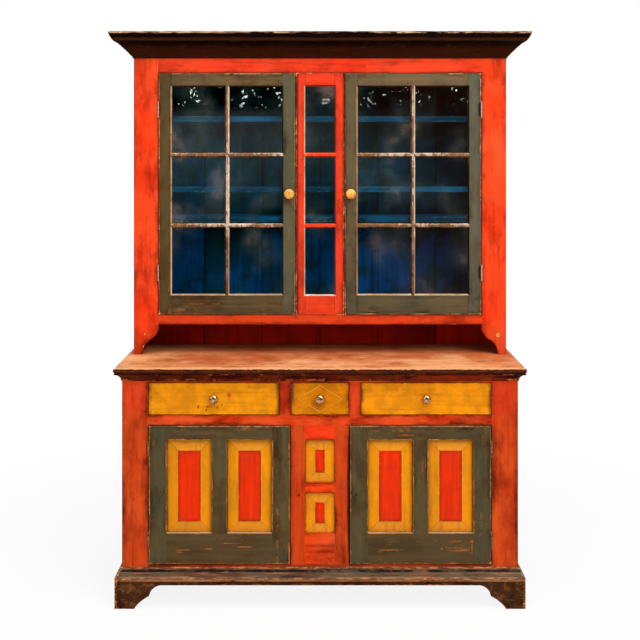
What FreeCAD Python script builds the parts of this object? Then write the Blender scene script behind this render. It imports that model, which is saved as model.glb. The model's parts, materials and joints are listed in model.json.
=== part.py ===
import FreeCAD, Part
import os

# Step back cupboard: a deep lower case with three drawers and two panelled doors, and a
# shallower glazed case standing on its worktop. Millimetres, +Z up, front towards -Y.
# The origin is on the floor, under the middle of the worktop.

# Overall case
case_width = 1420.0
lower_case_depth = 504.0
upper_case_depth = 247.0
frame_thickness = 22.0
side_thickness = 22.0
housing_depth = 8.0

# Lower case, heights from the floor upwards
skirt_height = 84.0
bracket_top = 105.0
lower_sill_height = 150.0
lower_opening_height = 499.0
drawer_rail_height = 37.0
drawer_opening_height = 117.0
lower_top_rail_height = 34.0
worktop_thickness = 20.0

# Upper case, heights from the worktop upwards
stile_foot_height = 115.0
upper_bottom_rail_height = 36.0
upper_opening_height = 924.0
upper_top_rail_shown = 55.0
cornice_height = 95.0
cornice_stand = 30.0

# Face frames
lower_stile_width = 94.0
upper_stile_width = 93.0
divider_width = 42.0
centre_drawer_width = 208.0
lower_centre_width = 211.0
lower_centre_stile = 53.0
lower_centre_top_rail = 54.0
lower_centre_mid_rail = 36.0
lower_centre_bottom_rail = 110.0
lower_centre_upper_panel = 153.0
upper_centre_width = 184.0
tenon_thickness = 7.0
tenon_length = 30.0
tenon_shoulder = 7.0
tenon_setback = 5.0

# Worktop and its cove, base moulding and bracket feet
worktop_overhang = 29.0
worktop_rounding = 7.0
cove_height = 28.0
cove_projection = 26.0
cove_lip = 3.0
cove_hollow = 5.5
base_moulding_projection = 23.0
base_moulding_height = 37.0
base_bead_height = 9.0
base_bead_projection = 5.0
base_bead_swell = 2.0
base_lip_height = 5.0
base_ogee_bow = 2.0
foot_width = 73.0
foot_toe = 5.0
foot_toe_bow = -1.5
foot_cusp_in = 123.0
foot_cusp_height = 45.0
foot_low_bow = 4.0
foot_reach = 165.0
foot_high_bow = 10.0
foot_block_size = 40.0

# Stile feet of the upper case
stile_foot_width = 30.0
stile_foot_straight = 22.0
stile_ogee_in = 34.0
stile_ogee_up = 54.0
stile_ogee_swell = -5.0
stile_ogee_hollow = 8.0
plug_radius = 10.0
plug_in = 31.0
plug_up = 74.0

# Cornice
cornice_projection = 83.0
cornice_edge = 6.0
cornice_crown_height = 35.0
cornice_crown_slope = 17.0
cornice_crown_swell = -2.0
cornice_quirk = 5.0
cornice_hollow = 1.5
cornice_lip = 4.0

# Boards inside
shelf_thickness = 20.0
lower_shelf_height = 400.0
lower_shelf_setback = 60.0
upper_shelf_shares = (0.382, 0.8)
upper_shelf_setback = 30.0
plate_rail_above_shelf = 96.0
plate_rail_height = 20.0
plate_rail_thickness = 12.0
back_thickness = 14.0
back_lap = 10.0
back_board_count = 6
back_board_chamfer = 1.5

# Glazed sashes
sash_stile = 50.0
sash_top_rail = 51.0
sash_bottom_rail = 78.0
centre_light_stile = 36.0
bar_width = 17.0
bar_face = 7.0
bar_tongue = 5.0
sash_bevel_depth = 6.0
glass_seat = 12.0
glass_thickness = 2.5
glass_clearance = 1.0
glass_rows = 3

# Panelled lower doors
lower_door_thickness = 28.0
lower_door_stile = 64.0
lower_door_mullion = 56.0
lower_door_top_rail = 51.0
lower_door_bottom_rail = 110.0
panel_field_recess = 8.0
panel_bevel_width = 40.0
centre_panel_bevel_width = 35.5
panel_step = 1.0
panel_edge_recess = 17.0
panel_tongue = 5.0
panel_groove = 8.0
panel_clearance = 1.0
centre_field_recess = 7.0
centre_panel_edge_recess = 12.0

# Door fit, hinges, knobs and catches
door_gap = 2.0
meeting_gap = 2.5
barrel_radius = 4.0
barrel_stand = 0.5
pin_radius = 1.6
hinge_clearance = 0.3
leaf_thickness = 2.0
leaf_depth = 18.0
upper_hinge_length = 60.0
lower_hinge_length = 55.0
upper_hinge_from_top = 141.0
upper_hinge_from_bottom = 162.0
lower_hinge_from_top = 85.0
lower_hinge_from_bottom = 90.0
knob_inset = 23.0
door_knob_radius = 19.0
door_knob_projection = 25.0
drawer_knob_radius = 17.0
drawer_knob_projection = 24.0
spindle_radius = 4.5
knob_crown = 0.45
knob_shoulder = 0.84
knob_neck = 0.42
knob_flange = 0.58
knob_belly_height = 0.62
knob_roll = 0.2
knob_neck_height = 0.22
knob_flange_height = 0.1
running_clearance = 0.3
catch_reach = 45.0
catch_width = 18.0
catch_thickness = 5.0

# Drawers and what carries them
drawer_gap = 1.5
drawer_front_thickness = 20.0
drawer_side_thickness = 12.0
drawer_bottom_thickness = 7.0
drawer_bottom_raise = 8.0
drawer_groove = 6.0
drawer_side_drop = 3.0
drawer_ride = 0.3
drawer_stop_gap = 0.3
dovetail_lap = 14.0
dovetail_count = 3
dovetail_narrow = 0.5
dovetail_slope = 0.17
runner_thickness = 20.0
runner_ledge = 20.0
guide_height = 20.0
guide_width = 20.0

# Levels and planes that follow from the sizes above
half_width = case_width / 2
back_y = (lower_case_depth + worktop_overhang) / 2
lower_front = back_y - lower_case_depth
upper_front = back_y - upper_case_depth
back_face = back_y - back_thickness
drawer_rail_bottom = lower_sill_height + lower_opening_height
drawer_floor = drawer_rail_bottom + drawer_rail_height
drawer_roof = drawer_floor + drawer_opening_height
lower_top = drawer_roof + lower_top_rail_height
worktop_top = lower_top + worktop_thickness
upper_rail_bottom = worktop_top + stile_foot_height
upper_sill = upper_rail_bottom + upper_bottom_rail_height
upper_lintel = upper_sill + upper_opening_height
upper_shelf_heights = [upper_sill + share * upper_opening_height for share in upper_shelf_shares]
cornice_bottom = upper_lintel + upper_top_rail_shown
upper_top = cornice_bottom + cornice_height - cornice_stand
lower_stile_inner = half_width - lower_stile_width
upper_stile_inner = half_width - upper_stile_width
side_inner = half_width - side_thickness
lower_inside_front = lower_front + frame_thickness
upper_inside_front = upper_front + frame_thickness
hinge_axis_ahead = barrel_radius + barrel_stand

ORIGIN = FreeCAD.Vector(0, 0, 0)
RIGHT = FreeCAD.Vector(1, 0, 0)
BACKWARD = FreeCAD.Vector(0, 1, 0)
UP = FreeCAD.Vector(0, 0, 1)


def board(x, y, z):
    """Plain board between three (low, high) pairs."""
    corner = FreeCAD.Vector(x[0], y[0], z[0])
    return Part.makeBox(x[1] - x[0], y[1] - y[0], z[1] - z[0], corner)


def grown(pair, by):
    """The pair with each end moved outwards."""
    return (pair[0] - by, pair[1] + by)


def mirrored(solids):
    """The same pieces on the other side of the middle of the cupboard."""
    return [solid.mirror(ORIGIN, RIGHT) for solid in solids]


def both_sides(solids):
    return solids + mirrored(solids)


def outline(*corners):
    """Flat face through the corners. A third number bows the edge ending there to its left."""
    edges = []
    for before, corner in zip(corners[-1:] + corners[:-1], corners):
        start = FreeCAD.Vector(before[0], before[1], 0)
        end = FreeCAD.Vector(corner[0], corner[1], 0)
        if len(corner) == 3:
            along = end - start
            left = FreeCAD.Vector(-along.y, along.x, 0).normalize()
            middle = (start + end) * 0.5 + left * corner[2]
            edges.append(Part.Arc(start, middle, end).toShape())
        else:
            edges.append(Part.makeLine(start, end))
    return Part.Face(Part.Wire(edges))


def front_prism(face, y):
    """An (across, height) face made thick between two depths."""
    solid = face.extrude(UP * (y[1] - y[0]))
    solid.rotate(ORIGIN, RIGHT, 90)
    solid.translate(BACKWARD * y[1])
    return solid


def side_prism(face, x):
    """A (depth, height) face made thick between two places across."""
    solid = face.extrude(UP * (x[1] - x[0]))
    solid.rotate(ORIGIN, FreeCAD.Vector(1, 1, 1), 120)
    solid.translate(RIGHT * x[0])
    return solid


def plan_prism(face, z):
    """A plan face made tall between two heights."""
    solid = face.extrude(UP * (z[1] - z[0]))
    solid.translate(UP * z[0])
    return solid


def turned(profile, x, z, y):
    """A (radius, depth) profile turned about a line running front to back."""
    solid = profile.revolve(ORIGIN, BACKWARD, 360)
    solid.translate(FreeCAD.Vector(x, y, z))
    return solid


def rod(radius, x, y, z):
    """Upright round bar between two heights."""
    return Part.makeCylinder(radius, z[1] - z[0], FreeCAD.Vector(x, y, z[0]), UP)


def hole(radius, x, y, z):
    """Round hole running front to back."""
    return Part.makeCylinder(radius, y[1] - y[0], FreeCAD.Vector(x, y[0], z), BACKWARD)


def with_tenon(member, receiver, tenon):
    """The member with its tenon, and the receiver with the mortise for it."""
    return member.fuse(tenon).removeSplitter(), receiver.cut(tenon)


def tenon_depth(front):
    """Where a tenon lies in the thickness of a frame whose face is at front."""
    return (front + tenon_setback, front + tenon_setback + tenon_thickness)


def mitred_moulding(profile, projection, front, z):
    """Front run and two returns of a moulding, mitred where they meet at the case corners."""
    run = front_prism(profile, (-half_width - projection, half_width + projection))
    run.rotate(ORIGIN, UP, -90)
    run.translate(FreeCAD.Vector(0, front, z[0]))
    front_plan = outline(
        (-half_width, front),
        (-half_width - projection, front - projection),
        (half_width + projection, front - projection),
        (half_width, front),
    )
    side = front_prism(profile, (front - projection, back_y))
    side.translate(FreeCAD.Vector(half_width, 0, z[0]))
    side_plan = outline(
        (half_width, front),
        (half_width + projection, front - projection),
        (half_width + projection, back_y),
        (half_width, back_y),
    )
    right = side.common(plan_prism(side_plan, z))
    return [run.common(plan_prism(front_plan, z))] + both_sides([right])


def hinge_heights(bottom, top, from_bottom, from_top, length):
    """The two height pairs that a door's hinges cover."""
    middles = (bottom + from_bottom, top - from_top)
    return [(middle - length / 2, middle + length / 2) for middle in middles]


upper_hinges = hinge_heights(
    upper_sill, upper_lintel, upper_hinge_from_bottom, upper_hinge_from_top, upper_hinge_length
)
lower_hinges = hinge_heights(
    lower_sill_height,
    drawer_rail_bottom,
    lower_hinge_from_bottom,
    lower_hinge_from_top,
    lower_hinge_length,
)


def knuckle_heights(z):
    """A hinge's three knuckles: low and high on the case, the middle one on the door."""
    third = (z[1] - z[0]) / 3
    low = (z[0], z[0] + third)
    middle = (low[1] + hinge_clearance, z[1] - third - hinge_clearance)
    high = (z[1] - third, z[1])
    return low, middle, high


def hinge_leaf(axis_x, front, z, side, knuckles, bore):
    """One leaf: a plate let into the wood at one side of the gap, rolled round the pin."""
    axis_y = front - hinge_axis_ahead
    near = axis_x + side * (hinge_clearance / 2)
    far = near + side * leaf_thickness
    across = (min(near, far), max(near, far))
    leaf = board(across, (front, front + leaf_depth), z)
    for knuckle in knuckles:
        tab = board(across, (axis_y, front), knuckle)
        leaf = leaf.fuse([tab, rod(barrel_radius, axis_x, axis_y, knuckle)])
    return leaf.removeSplitter().cut(rod(bore, axis_x, axis_y, grown(z, 1)))


def case_leaf(stile_inner, front, z):
    low, _, high = knuckle_heights(z)
    axis_x = stile_inner - door_gap / 2
    return hinge_leaf(axis_x, front, z, 1, (low, high), pin_radius)


def door_leaf(stile_inner, front, z):
    middle = knuckle_heights(z)[1]
    axis_x = stile_inner - door_gap / 2
    return hinge_leaf(axis_x, front, z, -1, (middle,), pin_radius + hinge_clearance)


def hinge_pin(stile_inner, front, z):
    return rod(pin_radius, stile_inner - door_gap / 2, front - hinge_axis_ahead, z)


def fielded_panel(x, z, front, field_recess, edge_recess, bevel_width):
    """Raised panel seen through an opening x by z: a flat field, wide bevels and thin edges."""
    field_y = front + field_recess
    edge_y = front + edge_recess
    lap = panel_groove - panel_clearance
    field_x = grown(x, -bevel_width)
    field_z = grown(z, -bevel_width)
    edge = board(grown(x, lap), (edge_y, edge_y + panel_tongue), grown(z, lap))
    bevels = Part.makeWedge(
        field_x[0], field_y + panel_step, field_z[0], z[0], x[0],
        field_x[1], edge_y, field_z[1], z[1], x[1],
    )
    field = board(field_x, (field_y, field_y + panel_step), field_z)
    return edge.fuse([bevels, field]).removeSplitter()


def panel_groove_cut(x, z, front, edge_recess):
    """Groove round an opening that a panel's thin edge stands in."""
    depth = (front + edge_recess, front + edge_recess + panel_tongue)
    return board(grown(x, panel_groove), depth, grown(z, panel_groove))


def sash(x, z, front, stile, columns):
    """Glazed frame: tenoned and bevelled stiles and rails, coped bars, and a pane per light."""
    back = front + frame_thickness
    daylight_x = (x[0] + stile, x[1] - stile)
    daylight_z = (z[0] + sash_bottom_rail, z[1] - sash_top_rail)
    bevel = (bar_width - bar_face) / 2
    rebate = (bar_width - bar_tongue) / 2
    bevel_back = front + sash_bevel_depth
    seat = front + glass_seat
    ring = board(x, (front, back), z).cut(board(daylight_x, (front, back), daylight_z))
    ring = ring.cut(board(grown(daylight_x, rebate), (seat, back), grown(daylight_z, rebate)))
    ring = ring.cut(
        Part.makeWedge(
            daylight_x[0] - bevel, front, daylight_z[0] - bevel, daylight_z[0], daylight_x[0],
            daylight_x[1] + bevel, bevel_back, daylight_z[1] + bevel, daylight_z[1], daylight_x[1],
        )
    )
    left = ring.common(board((x[0], daylight_x[0]), (front, back), z))
    right = ring.common(board((daylight_x[1], x[1]), (front, back), z))
    rails = []
    for rail_z in ((z[0], daylight_z[0]), (daylight_z[1], z[1])):
        rail = ring.common(board(daylight_x, (front, back), rail_z))
        reach = min(tenon_length, stile - tenon_shoulder)
        tenon_z = grown(rail_z, -rebate - tenon_shoulder)
        for inner, outer in ((daylight_x[0], daylight_x[0] - reach), (daylight_x[1], daylight_x[1] + reach)):
            tenon_x = (min(inner, outer), max(inner, outer))
            tenon = board(tenon_x, tenon_depth(front + sash_bevel_depth - tenon_setback), tenon_z)
            if outer < inner:
                rail, left = with_tenon(rail, left, tenon)
            else:
                rail, right = with_tenon(rail, right, tenon)
        rails.append(rail)
    light_width = (daylight_x[1] - daylight_x[0] - (columns - 1) * bar_width) / columns
    light_height = (daylight_z[1] - daylight_z[0] - (glass_rows - 1) * bar_width) / glass_rows
    section = outline(
        (-bar_face / 2, front),
        (bar_face / 2, front),
        (bar_width / 2, bevel_back),
        (bar_width / 2, seat),
        (bar_tongue / 2, seat),
        (bar_tongue / 2, back),
        (-bar_tongue / 2, back),
        (-bar_tongue / 2, seat),
        (-bar_width / 2, seat),
        (-bar_width / 2, bevel_back),
    )
    uprights = []
    for column in range(1, columns):
        upright = plan_prism(section, grown(daylight_z, rebate))
        upright.translate(RIGHT * (daylight_x[0] + column * (light_width + bar_width) - bar_width / 2))
        uprights.append(upright.cut(ring))
    bars = list(uprights)
    for row in range(1, glass_rows):
        height = daylight_z[0] + row * (light_height + bar_width) - bar_width / 2
        bar = plan_prism(section, grown(daylight_x, rebate))
        bar.rotate(ORIGIN, BACKWARD, 90)
        bar.translate(UP * height)
        bars.extend(bar.cut([ring] + uprights).Solids)
    panes = []
    lap = rebate - glass_clearance
    for column in range(columns):
        for row in range(glass_rows):
            low_x = daylight_x[0] + column * (light_width + bar_width)
            low_z = daylight_z[0] + row * (light_height + bar_width)
            pane_x = grown((low_x, low_x + light_width), lap)
            pane_z = grown((low_z, low_z + light_height), lap)
            panes.append(board(pane_x, (seat, seat + glass_thickness), pane_z))
    return [left, right] + rails, bars, panes


def lower_frame():
    """Face frame of the lower case: stiles, three long rails and the drawer dividers."""
    depth = (lower_front, lower_inside_front)
    stile = board((lower_stile_inner, half_width), depth, (skirt_height, lower_top))
    rails = []
    for rail_z in (
        (skirt_height, lower_sill_height),
        (drawer_rail_bottom, drawer_floor),
        (drawer_roof, lower_top),
    ):
        rail = board((-lower_stile_inner, lower_stile_inner), depth, rail_z)
        tenon = board(
            (lower_stile_inner, lower_stile_inner + tenon_length),
            tenon_depth(lower_front),
            grown(rail_z, -tenon_shoulder),
        )
        rail, stile = with_tenon(rail, stile, tenon)
        rails.append(rail.fuse(mirrored([tenon])).removeSplitter())
    divider_x = (centre_drawer_width / 2, centre_drawer_width / 2 + divider_width)
    divider = board(divider_x, depth, (drawer_floor, drawer_roof))
    tenon_x = grown(divider_x, -tenon_shoulder)
    reach = drawer_rail_height / 2
    for rail, tenon_z in ((1, (drawer_floor - reach, drawer_floor)), (2, (drawer_roof, drawer_roof + reach))):
        tenon = board(tenon_x, tenon_depth(lower_front), tenon_z)
        divider = divider.fuse(tenon).removeSplitter()
        rails[rail] = rails[rail].cut(both_sides([tenon]))
    return both_sides([stile]), rails, both_sides([divider])


def lower_centre(rails):
    """Fixed panelled strip between the lower doors, tenoned into the long rails."""
    depth = (lower_front, lower_inside_front)
    outer = lower_centre_width / 2
    inner = outer - lower_centre_stile
    upper_panel_z = (
        drawer_rail_bottom - lower_centre_top_rail - lower_centre_upper_panel,
        drawer_rail_bottom - lower_centre_top_rail,
    )
    lower_panel_z = (
        lower_sill_height + lower_centre_bottom_rail,
        upper_panel_z[0] - lower_centre_mid_rail,
    )
    stile = board((inner, outer), depth, (lower_sill_height, drawer_rail_bottom))
    reach = drawer_rail_height / 2
    for rail, tenon_z in (
        (0, (lower_sill_height - reach, lower_sill_height)),
        (1, (drawer_rail_bottom, drawer_rail_bottom + reach)),
    ):
        tenon = board(grown((inner, outer), -tenon_shoulder), tenon_depth(lower_front), tenon_z)
        stile = stile.fuse(tenon).removeSplitter()
        rails[rail] = rails[rail].cut(both_sides([tenon]))
    short_rails = []
    for rail_z in (
        (lower_sill_height, lower_panel_z[0]),
        (lower_panel_z[1], upper_panel_z[0]),
        (upper_panel_z[1], drawer_rail_bottom),
    ):
        rail = board((-inner, inner), depth, rail_z)
        tenon = board(
            (inner, inner + tenon_length),
            tenon_depth(lower_front),
            grown(rail_z, -panel_groove - panel_clearance),
        )
        rail, stile = with_tenon(rail, stile, tenon)
        short_rails.append(rail.fuse(mirrored([tenon])).removeSplitter())
    opening_x = (-inner, inner)
    members = both_sides([stile]) + short_rails
    panels = []
    for panel_z in (lower_panel_z, upper_panel_z):
        panels.append(
            fielded_panel(
                opening_x, panel_z, lower_front,
                centre_field_recess, centre_panel_edge_recess, centre_panel_bevel_width,
            )
        )
        groove = panel_groove_cut(opening_x, panel_z, lower_front, centre_panel_edge_recess)
        members = [member.cut(groove) for member in members]
    return members, panels


def lower_boards():
    """Bottom and shelf, and the two sides with the housings that hold them."""
    inside_x = (-side_inner - housing_depth, side_inner + housing_depth)
    bottom = board(
        inside_x, (lower_inside_front, back_face), (lower_sill_height - shelf_thickness, lower_sill_height)
    )
    shelf = board(
        inside_x,
        (lower_inside_front + lower_shelf_setback, back_face),
        (lower_shelf_height, lower_shelf_height + shelf_thickness),
    )
    side = board((side_inner, half_width), (lower_inside_front, back_y), (skirt_height, lower_top))
    return bottom, shelf, both_sides([side.cut([bottom, shelf, back_rebate(skirt_height, lower_top)])])


def back_rebate(low, high):
    """Room that the back boards take out of the back edges of the sides."""
    reach = side_inner + back_lap
    return board((-reach, reach), (back_face, back_y), (low, high))


def back_boards(low, high):
    """Upright boards side by side, with their front edges eased."""
    reach = side_inner + back_lap
    width = 2 * reach / back_board_count
    plan = outline(
        (0, back_y),
        (0, back_face + back_board_chamfer),
        (back_board_chamfer, back_face),
        (width - back_board_chamfer, back_face),
        (width, back_face + back_board_chamfer),
        (width, back_y),
    )
    boards = []
    for number in range(back_board_count):
        one = plan_prism(plan, (low, high))
        one.translate(RIGHT * (number * width - reach))
        boards.append(one)
    return boards


def worktop():
    """Board over the lower case, with its front and end edges rounded."""
    reach = half_width + worktop_overhang
    top = board((-reach, reach), (lower_front - worktop_overhang, back_y), (lower_top, worktop_top))
    rounded = []
    for edge in top.Edges:
        middle = edge.CenterOfMass
        upright = abs(middle.z - (lower_top + worktop_top) / 2) < worktop_rounding / 2
        at_back = back_y - middle.y < worktop_rounding
        if not upright and not at_back:
            rounded.append(edge)
    return top.makeFillet(worktop_rounding, rounded)


def worktop_cove():
    """Hollow moulding under the worktop."""
    profile = outline(
        (0, 0),
        (cove_lip, 0),
        (cove_lip, cove_lip),
        (cove_projection, cove_height - cove_lip, cove_hollow),
        (cove_projection, cove_height),
        (0, cove_height),
    )
    return mitred_moulding(profile, cove_projection, lower_front, (lower_top - cove_height, lower_top))


def base_moulding():
    """Moulding over the bracket feet: a round bead on top of a long ogee."""
    bead_bottom = base_moulding_height - base_bead_height
    middle = ((base_bead_projection + base_moulding_projection) / 2, (bead_bottom + base_lip_height) / 2)
    profile = outline(
        (0, 0),
        (base_moulding_projection, 0),
        (base_moulding_projection, base_lip_height),
        (middle[0], middle[1], base_ogee_bow),
        (base_bead_projection - base_ogee_bow, bead_bottom, -base_ogee_bow),
        (base_bead_projection, bead_bottom),
        (base_bead_projection, base_moulding_height, -base_bead_swell),
        (0, base_moulding_height),
    )
    level = (bracket_top, bracket_top + base_moulding_height)
    return mitred_moulding(profile, base_moulding_projection, lower_front, level)


def bracket_profile(length):
    """Long board cut away between two scrolled feet: two hollows meeting at a cusp."""
    return outline(
        (0, bracket_top),
        (0, 0),
        (foot_width - foot_toe, 0),
        (foot_width, foot_toe, foot_toe_bow),
        (foot_cusp_in, foot_cusp_height, foot_low_bow),
        (foot_reach, skirt_height, foot_high_bow),
        (length - foot_reach, skirt_height),
        (length - foot_cusp_in, foot_cusp_height, foot_high_bow),
        (length - foot_width, foot_toe, foot_low_bow),
        (length - foot_width + foot_toe, 0, foot_toe_bow),
        (length, 0),
        (length, bracket_top),
    )


def bracket_base():
    """Front and side bracket boards, mitred at the front corners, and the corner blocks."""
    projection = base_moulding_projection
    reach = half_width + projection
    front = front_prism(bracket_profile(2 * reach), (lower_front - projection, lower_front))
    front.translate(RIGHT * -reach)
    side = side_prism(bracket_profile(lower_case_depth + projection), (half_width, reach))
    side.translate(BACKWARD * (lower_front - projection))
    level = (0, bracket_top)
    front_plan = outline(
        (-half_width, lower_front),
        (-reach, lower_front - projection),
        (reach, lower_front - projection),
        (half_width, lower_front),
    )
    side_plan = outline(
        (half_width, lower_front),
        (reach, lower_front - projection),
        (reach, back_y),
        (half_width, back_y),
    )
    sides = both_sides([side.common(plan_prism(side_plan, level))])
    block_x = (half_width - foot_block_size, half_width)
    blocks = [
        board(block_x, (lower_front, lower_front + foot_block_size), (0, skirt_height)),
        board(block_x, (back_y - foot_block_size, back_y), (0, skirt_height)),
    ]
    return front.common(plan_prism(front_plan, level)), sides, both_sides(blocks)


def drawer_openings():
    """Left and right edges of the three drawer openings."""
    half = centre_drawer_width / 2
    outer = half + divider_width
    return {"left": (-lower_stile_inner, -outer), "centre": (-half, half), "right": (outer, lower_stile_inner)}


def drawer_carriers():
    """Runners under the drawer sides, guides beside them and kickers above them."""
    depth = (lower_inside_front, back_face)
    half = centre_drawer_width / 2
    outer = half + divider_width
    between = (half - runner_ledge, outer + runner_ledge)
    beside = (lower_stile_inner - runner_ledge, side_inner)
    runners = [board(x, depth, (drawer_floor - runner_thickness, drawer_floor)) for x in (between, beside)]
    kickers = [board(x, depth, (drawer_roof, drawer_roof + runner_thickness)) for x in (between, beside)]
    guide_z = (drawer_floor, drawer_floor + guide_height)
    guides = [
        board((half, outer), depth, guide_z),
        board((lower_stile_inner, lower_stile_inner + guide_width), depth, guide_z),
    ]
    return both_sides(runners), both_sides(guides), both_sides(kickers)


def dovetails(x, root, tip, z):
    """Wedge-shaped tails on the end of a drawer side."""
    pitch = (z[1] - z[0]) / dovetail_count
    narrow = pitch * dovetail_narrow / 2
    wide = narrow + abs(tip - root) * dovetail_slope
    tails = []
    for number in range(dovetail_count):
        middle = z[0] + pitch * (number + 0.5)
        face = outline((root, middle - narrow), (root, middle + narrow), (tip, middle + wide), (tip, middle - wide))
        tails.append(side_prism(face, x))
    return tails


def drawer(opening):
    """Front, dovetailed sides and back, and the bottom board in its grooves."""
    x = grown(opening, -drawer_gap)
    front_y = (lower_front, lower_front + drawer_front_thickness)
    back_end = back_face - drawer_stop_gap
    low = drawer_floor + drawer_ride
    side_z = (low, drawer_roof - drawer_side_drop)
    front = board(x, front_y, (drawer_floor + drawer_gap, drawer_roof - drawer_gap))
    back_x = (x[0] + drawer_side_thickness, x[1] - drawer_side_thickness)
    bottom_z = (low + drawer_bottom_raise, low + drawer_bottom_raise + drawer_bottom_thickness)
    back_y_pair = (back_end - drawer_side_thickness, back_end)
    back = board(x, back_y_pair, (bottom_z[1], side_z[1]))
    sides = []
    for side_x in ((x[0], back_x[0]), (back_x[1], x[1])):
        side = board(side_x, (front_y[1], back_y_pair[0]), side_z)
        front_tails = dovetails(side_x, front_y[1], front_y[1] - dovetail_lap, side_z)
        back_tails = dovetails(side_x, back_y_pair[0], back_end, (bottom_z[1], side_z[1]))
        front = front.cut(front_tails)
        back = back.cut(back_tails)
        sides.append(side.fuse(front_tails + back_tails).removeSplitter())
    bottom = board(
        grown(back_x, drawer_groove), (front_y[1] - drawer_groove, back_end), bottom_z
    )
    front = front.cut(bottom)
    sides = [side.cut(bottom) for side in sides]
    return front, sides + [back, bottom]


def knob(radius, projection, shank, x, z, face, stand):
    """Turned knob on a round shank, standing on a face."""
    belly = projection * knob_belly_height
    shoulder = radius * knob_shoulder
    flange = radius * knob_flange
    profile = outline(
        (0, shank),
        (0, -projection),
        (radius * knob_crown, -projection),
        (shoulder, -belly - projection * knob_roll),
        (radius, -belly),
        (shoulder, projection * knob_roll - belly),
        (radius * knob_neck, -projection * knob_neck_height),
        (flange, -projection * knob_flange_height),
        (flange, 0),
        (spindle_radius, 0),
        (spindle_radius, shank),
    )
    return turned(profile, x, z, face - stand)


def upper_frame():
    """Face frame of the upper case: stiles on scrolled feet, and the two long rails."""
    foot_inner = half_width - stile_foot_width
    ogee_top = upper_rail_bottom - stile_foot_straight
    ogee_x = upper_stile_inner + stile_ogee_in
    ogee_z = worktop_top + stile_ogee_up
    shape = outline(
        (half_width, worktop_top),
        (half_width, upper_top),
        (upper_stile_inner, upper_top),
        (upper_stile_inner, ogee_top),
        (ogee_x, ogee_z, stile_ogee_swell),
        (foot_inner, worktop_top, stile_ogee_hollow),
    )
    depth = (upper_front, upper_inside_front)
    stile = front_prism(shape, depth)
    rails = []
    for rail_z in ((upper_rail_bottom, upper_sill), (upper_lintel, upper_top)):
        rail = board((-upper_stile_inner, upper_stile_inner), depth, rail_z)
        tenon = board(
            (upper_stile_inner, upper_stile_inner + tenon_length),
            tenon_depth(upper_front),
            grown(rail_z, -tenon_shoulder),
        )
        rail, stile = with_tenon(rail, stile, tenon)
        rails.append(rail.fuse(mirrored([tenon])).removeSplitter())
    plug = hole(plug_radius, half_width - plug_in, depth, worktop_top + plug_up)
    left, right = mirrored([stile])[0], stile.cut(plug)
    return [left, right, plug], rails


def upper_boards():
    """Bottom, top and two shelves of the upper case, and the sides that house them."""
    inside_x = (-side_inner - housing_depth, side_inner + housing_depth)
    depth = (upper_inside_front, back_face)
    bottom = board(inside_x, depth, (upper_rail_bottom, upper_rail_bottom + shelf_thickness))
    top = board(inside_x, depth, (upper_top - shelf_thickness, upper_top))
    shelf_depth = (upper_front + upper_shelf_setback, back_face)
    shelves = [board(inside_x, shelf_depth, (low, low + shelf_thickness)) for low in upper_shelf_heights]
    rail_low = upper_shelf_heights[0] + shelf_thickness + plate_rail_above_shelf
    rail_depth = (upper_front + upper_shelf_setback, upper_front + upper_shelf_setback + plate_rail_thickness)
    plate_rail = board(inside_x, rail_depth, (rail_low, rail_low + plate_rail_height))
    side = board((side_inner, half_width), (upper_inside_front, back_y), (worktop_top, upper_top))
    side = side.cut([bottom, top, plate_rail, back_rebate(worktop_top, upper_top)] + shelves)
    return bottom, top, shelves, plate_rail, both_sides([side])


def cornice():
    """Crown moulding: a square edge, a sloping round crown and a quirk over a long shallow hollow."""
    crown_bottom = cornice_height - cornice_crown_height
    crown_in = cornice_projection - cornice_crown_slope
    profile = outline(
        (0, 0),
        (cornice_lip, 0),
        (cornice_lip, cornice_lip),
        (crown_in - cornice_quirk, crown_bottom, cornice_hollow),
        (crown_in, crown_bottom),
        (cornice_projection, cornice_height - cornice_edge, cornice_crown_swell),
        (cornice_projection, cornice_height),
        (0, cornice_height),
    )
    level = (cornice_bottom, cornice_bottom + cornice_height)
    return mitred_moulding(profile, cornice_projection, upper_front, level)


def upper_door():
    """Right-hand glazed door, its hinge leaves, and the turning knob with its catch."""
    x = (upper_centre_width / 2 + meeting_gap, upper_stile_inner - door_gap)
    z = (upper_sill + door_gap, upper_lintel - door_gap)
    frame, bars, panes = sash(x, z, upper_front, sash_stile, 2)
    leaves = [door_leaf(upper_stile_inner, upper_front, hinge_z) for hinge_z in upper_hinges]
    knob_x = upper_centre_width / 2 + meeting_gap + knob_inset
    knob_z = (upper_sill + upper_lintel) / 2
    through = hole(
        spindle_radius + running_clearance, knob_x, grown((upper_front, upper_inside_front), 1), knob_z
    )
    frame = [member.cut([through] + leaves) for member in frame]
    catch_y = (
        upper_inside_front + running_clearance,
        upper_inside_front + running_clearance + catch_thickness,
    )
    shank = catch_y[1] - upper_front + running_clearance
    door_knob = knob(
        door_knob_radius, door_knob_projection, shank, knob_x, knob_z, upper_front, running_clearance
    )
    half = catch_width / 2
    shape = outline(
        (half, 0), (-half, 0, -half), (-half, half - catch_reach), (half, half - catch_reach, -half)
    )
    catch = front_prism(shape, catch_y)
    catch.translate(FreeCAD.Vector(knob_x, 0, knob_z))
    catch = catch.cut(hole(spindle_radius, knob_x, grown(catch_y, 1), knob_z))
    return frame, bars, panes, leaves, door_knob, catch


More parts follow.
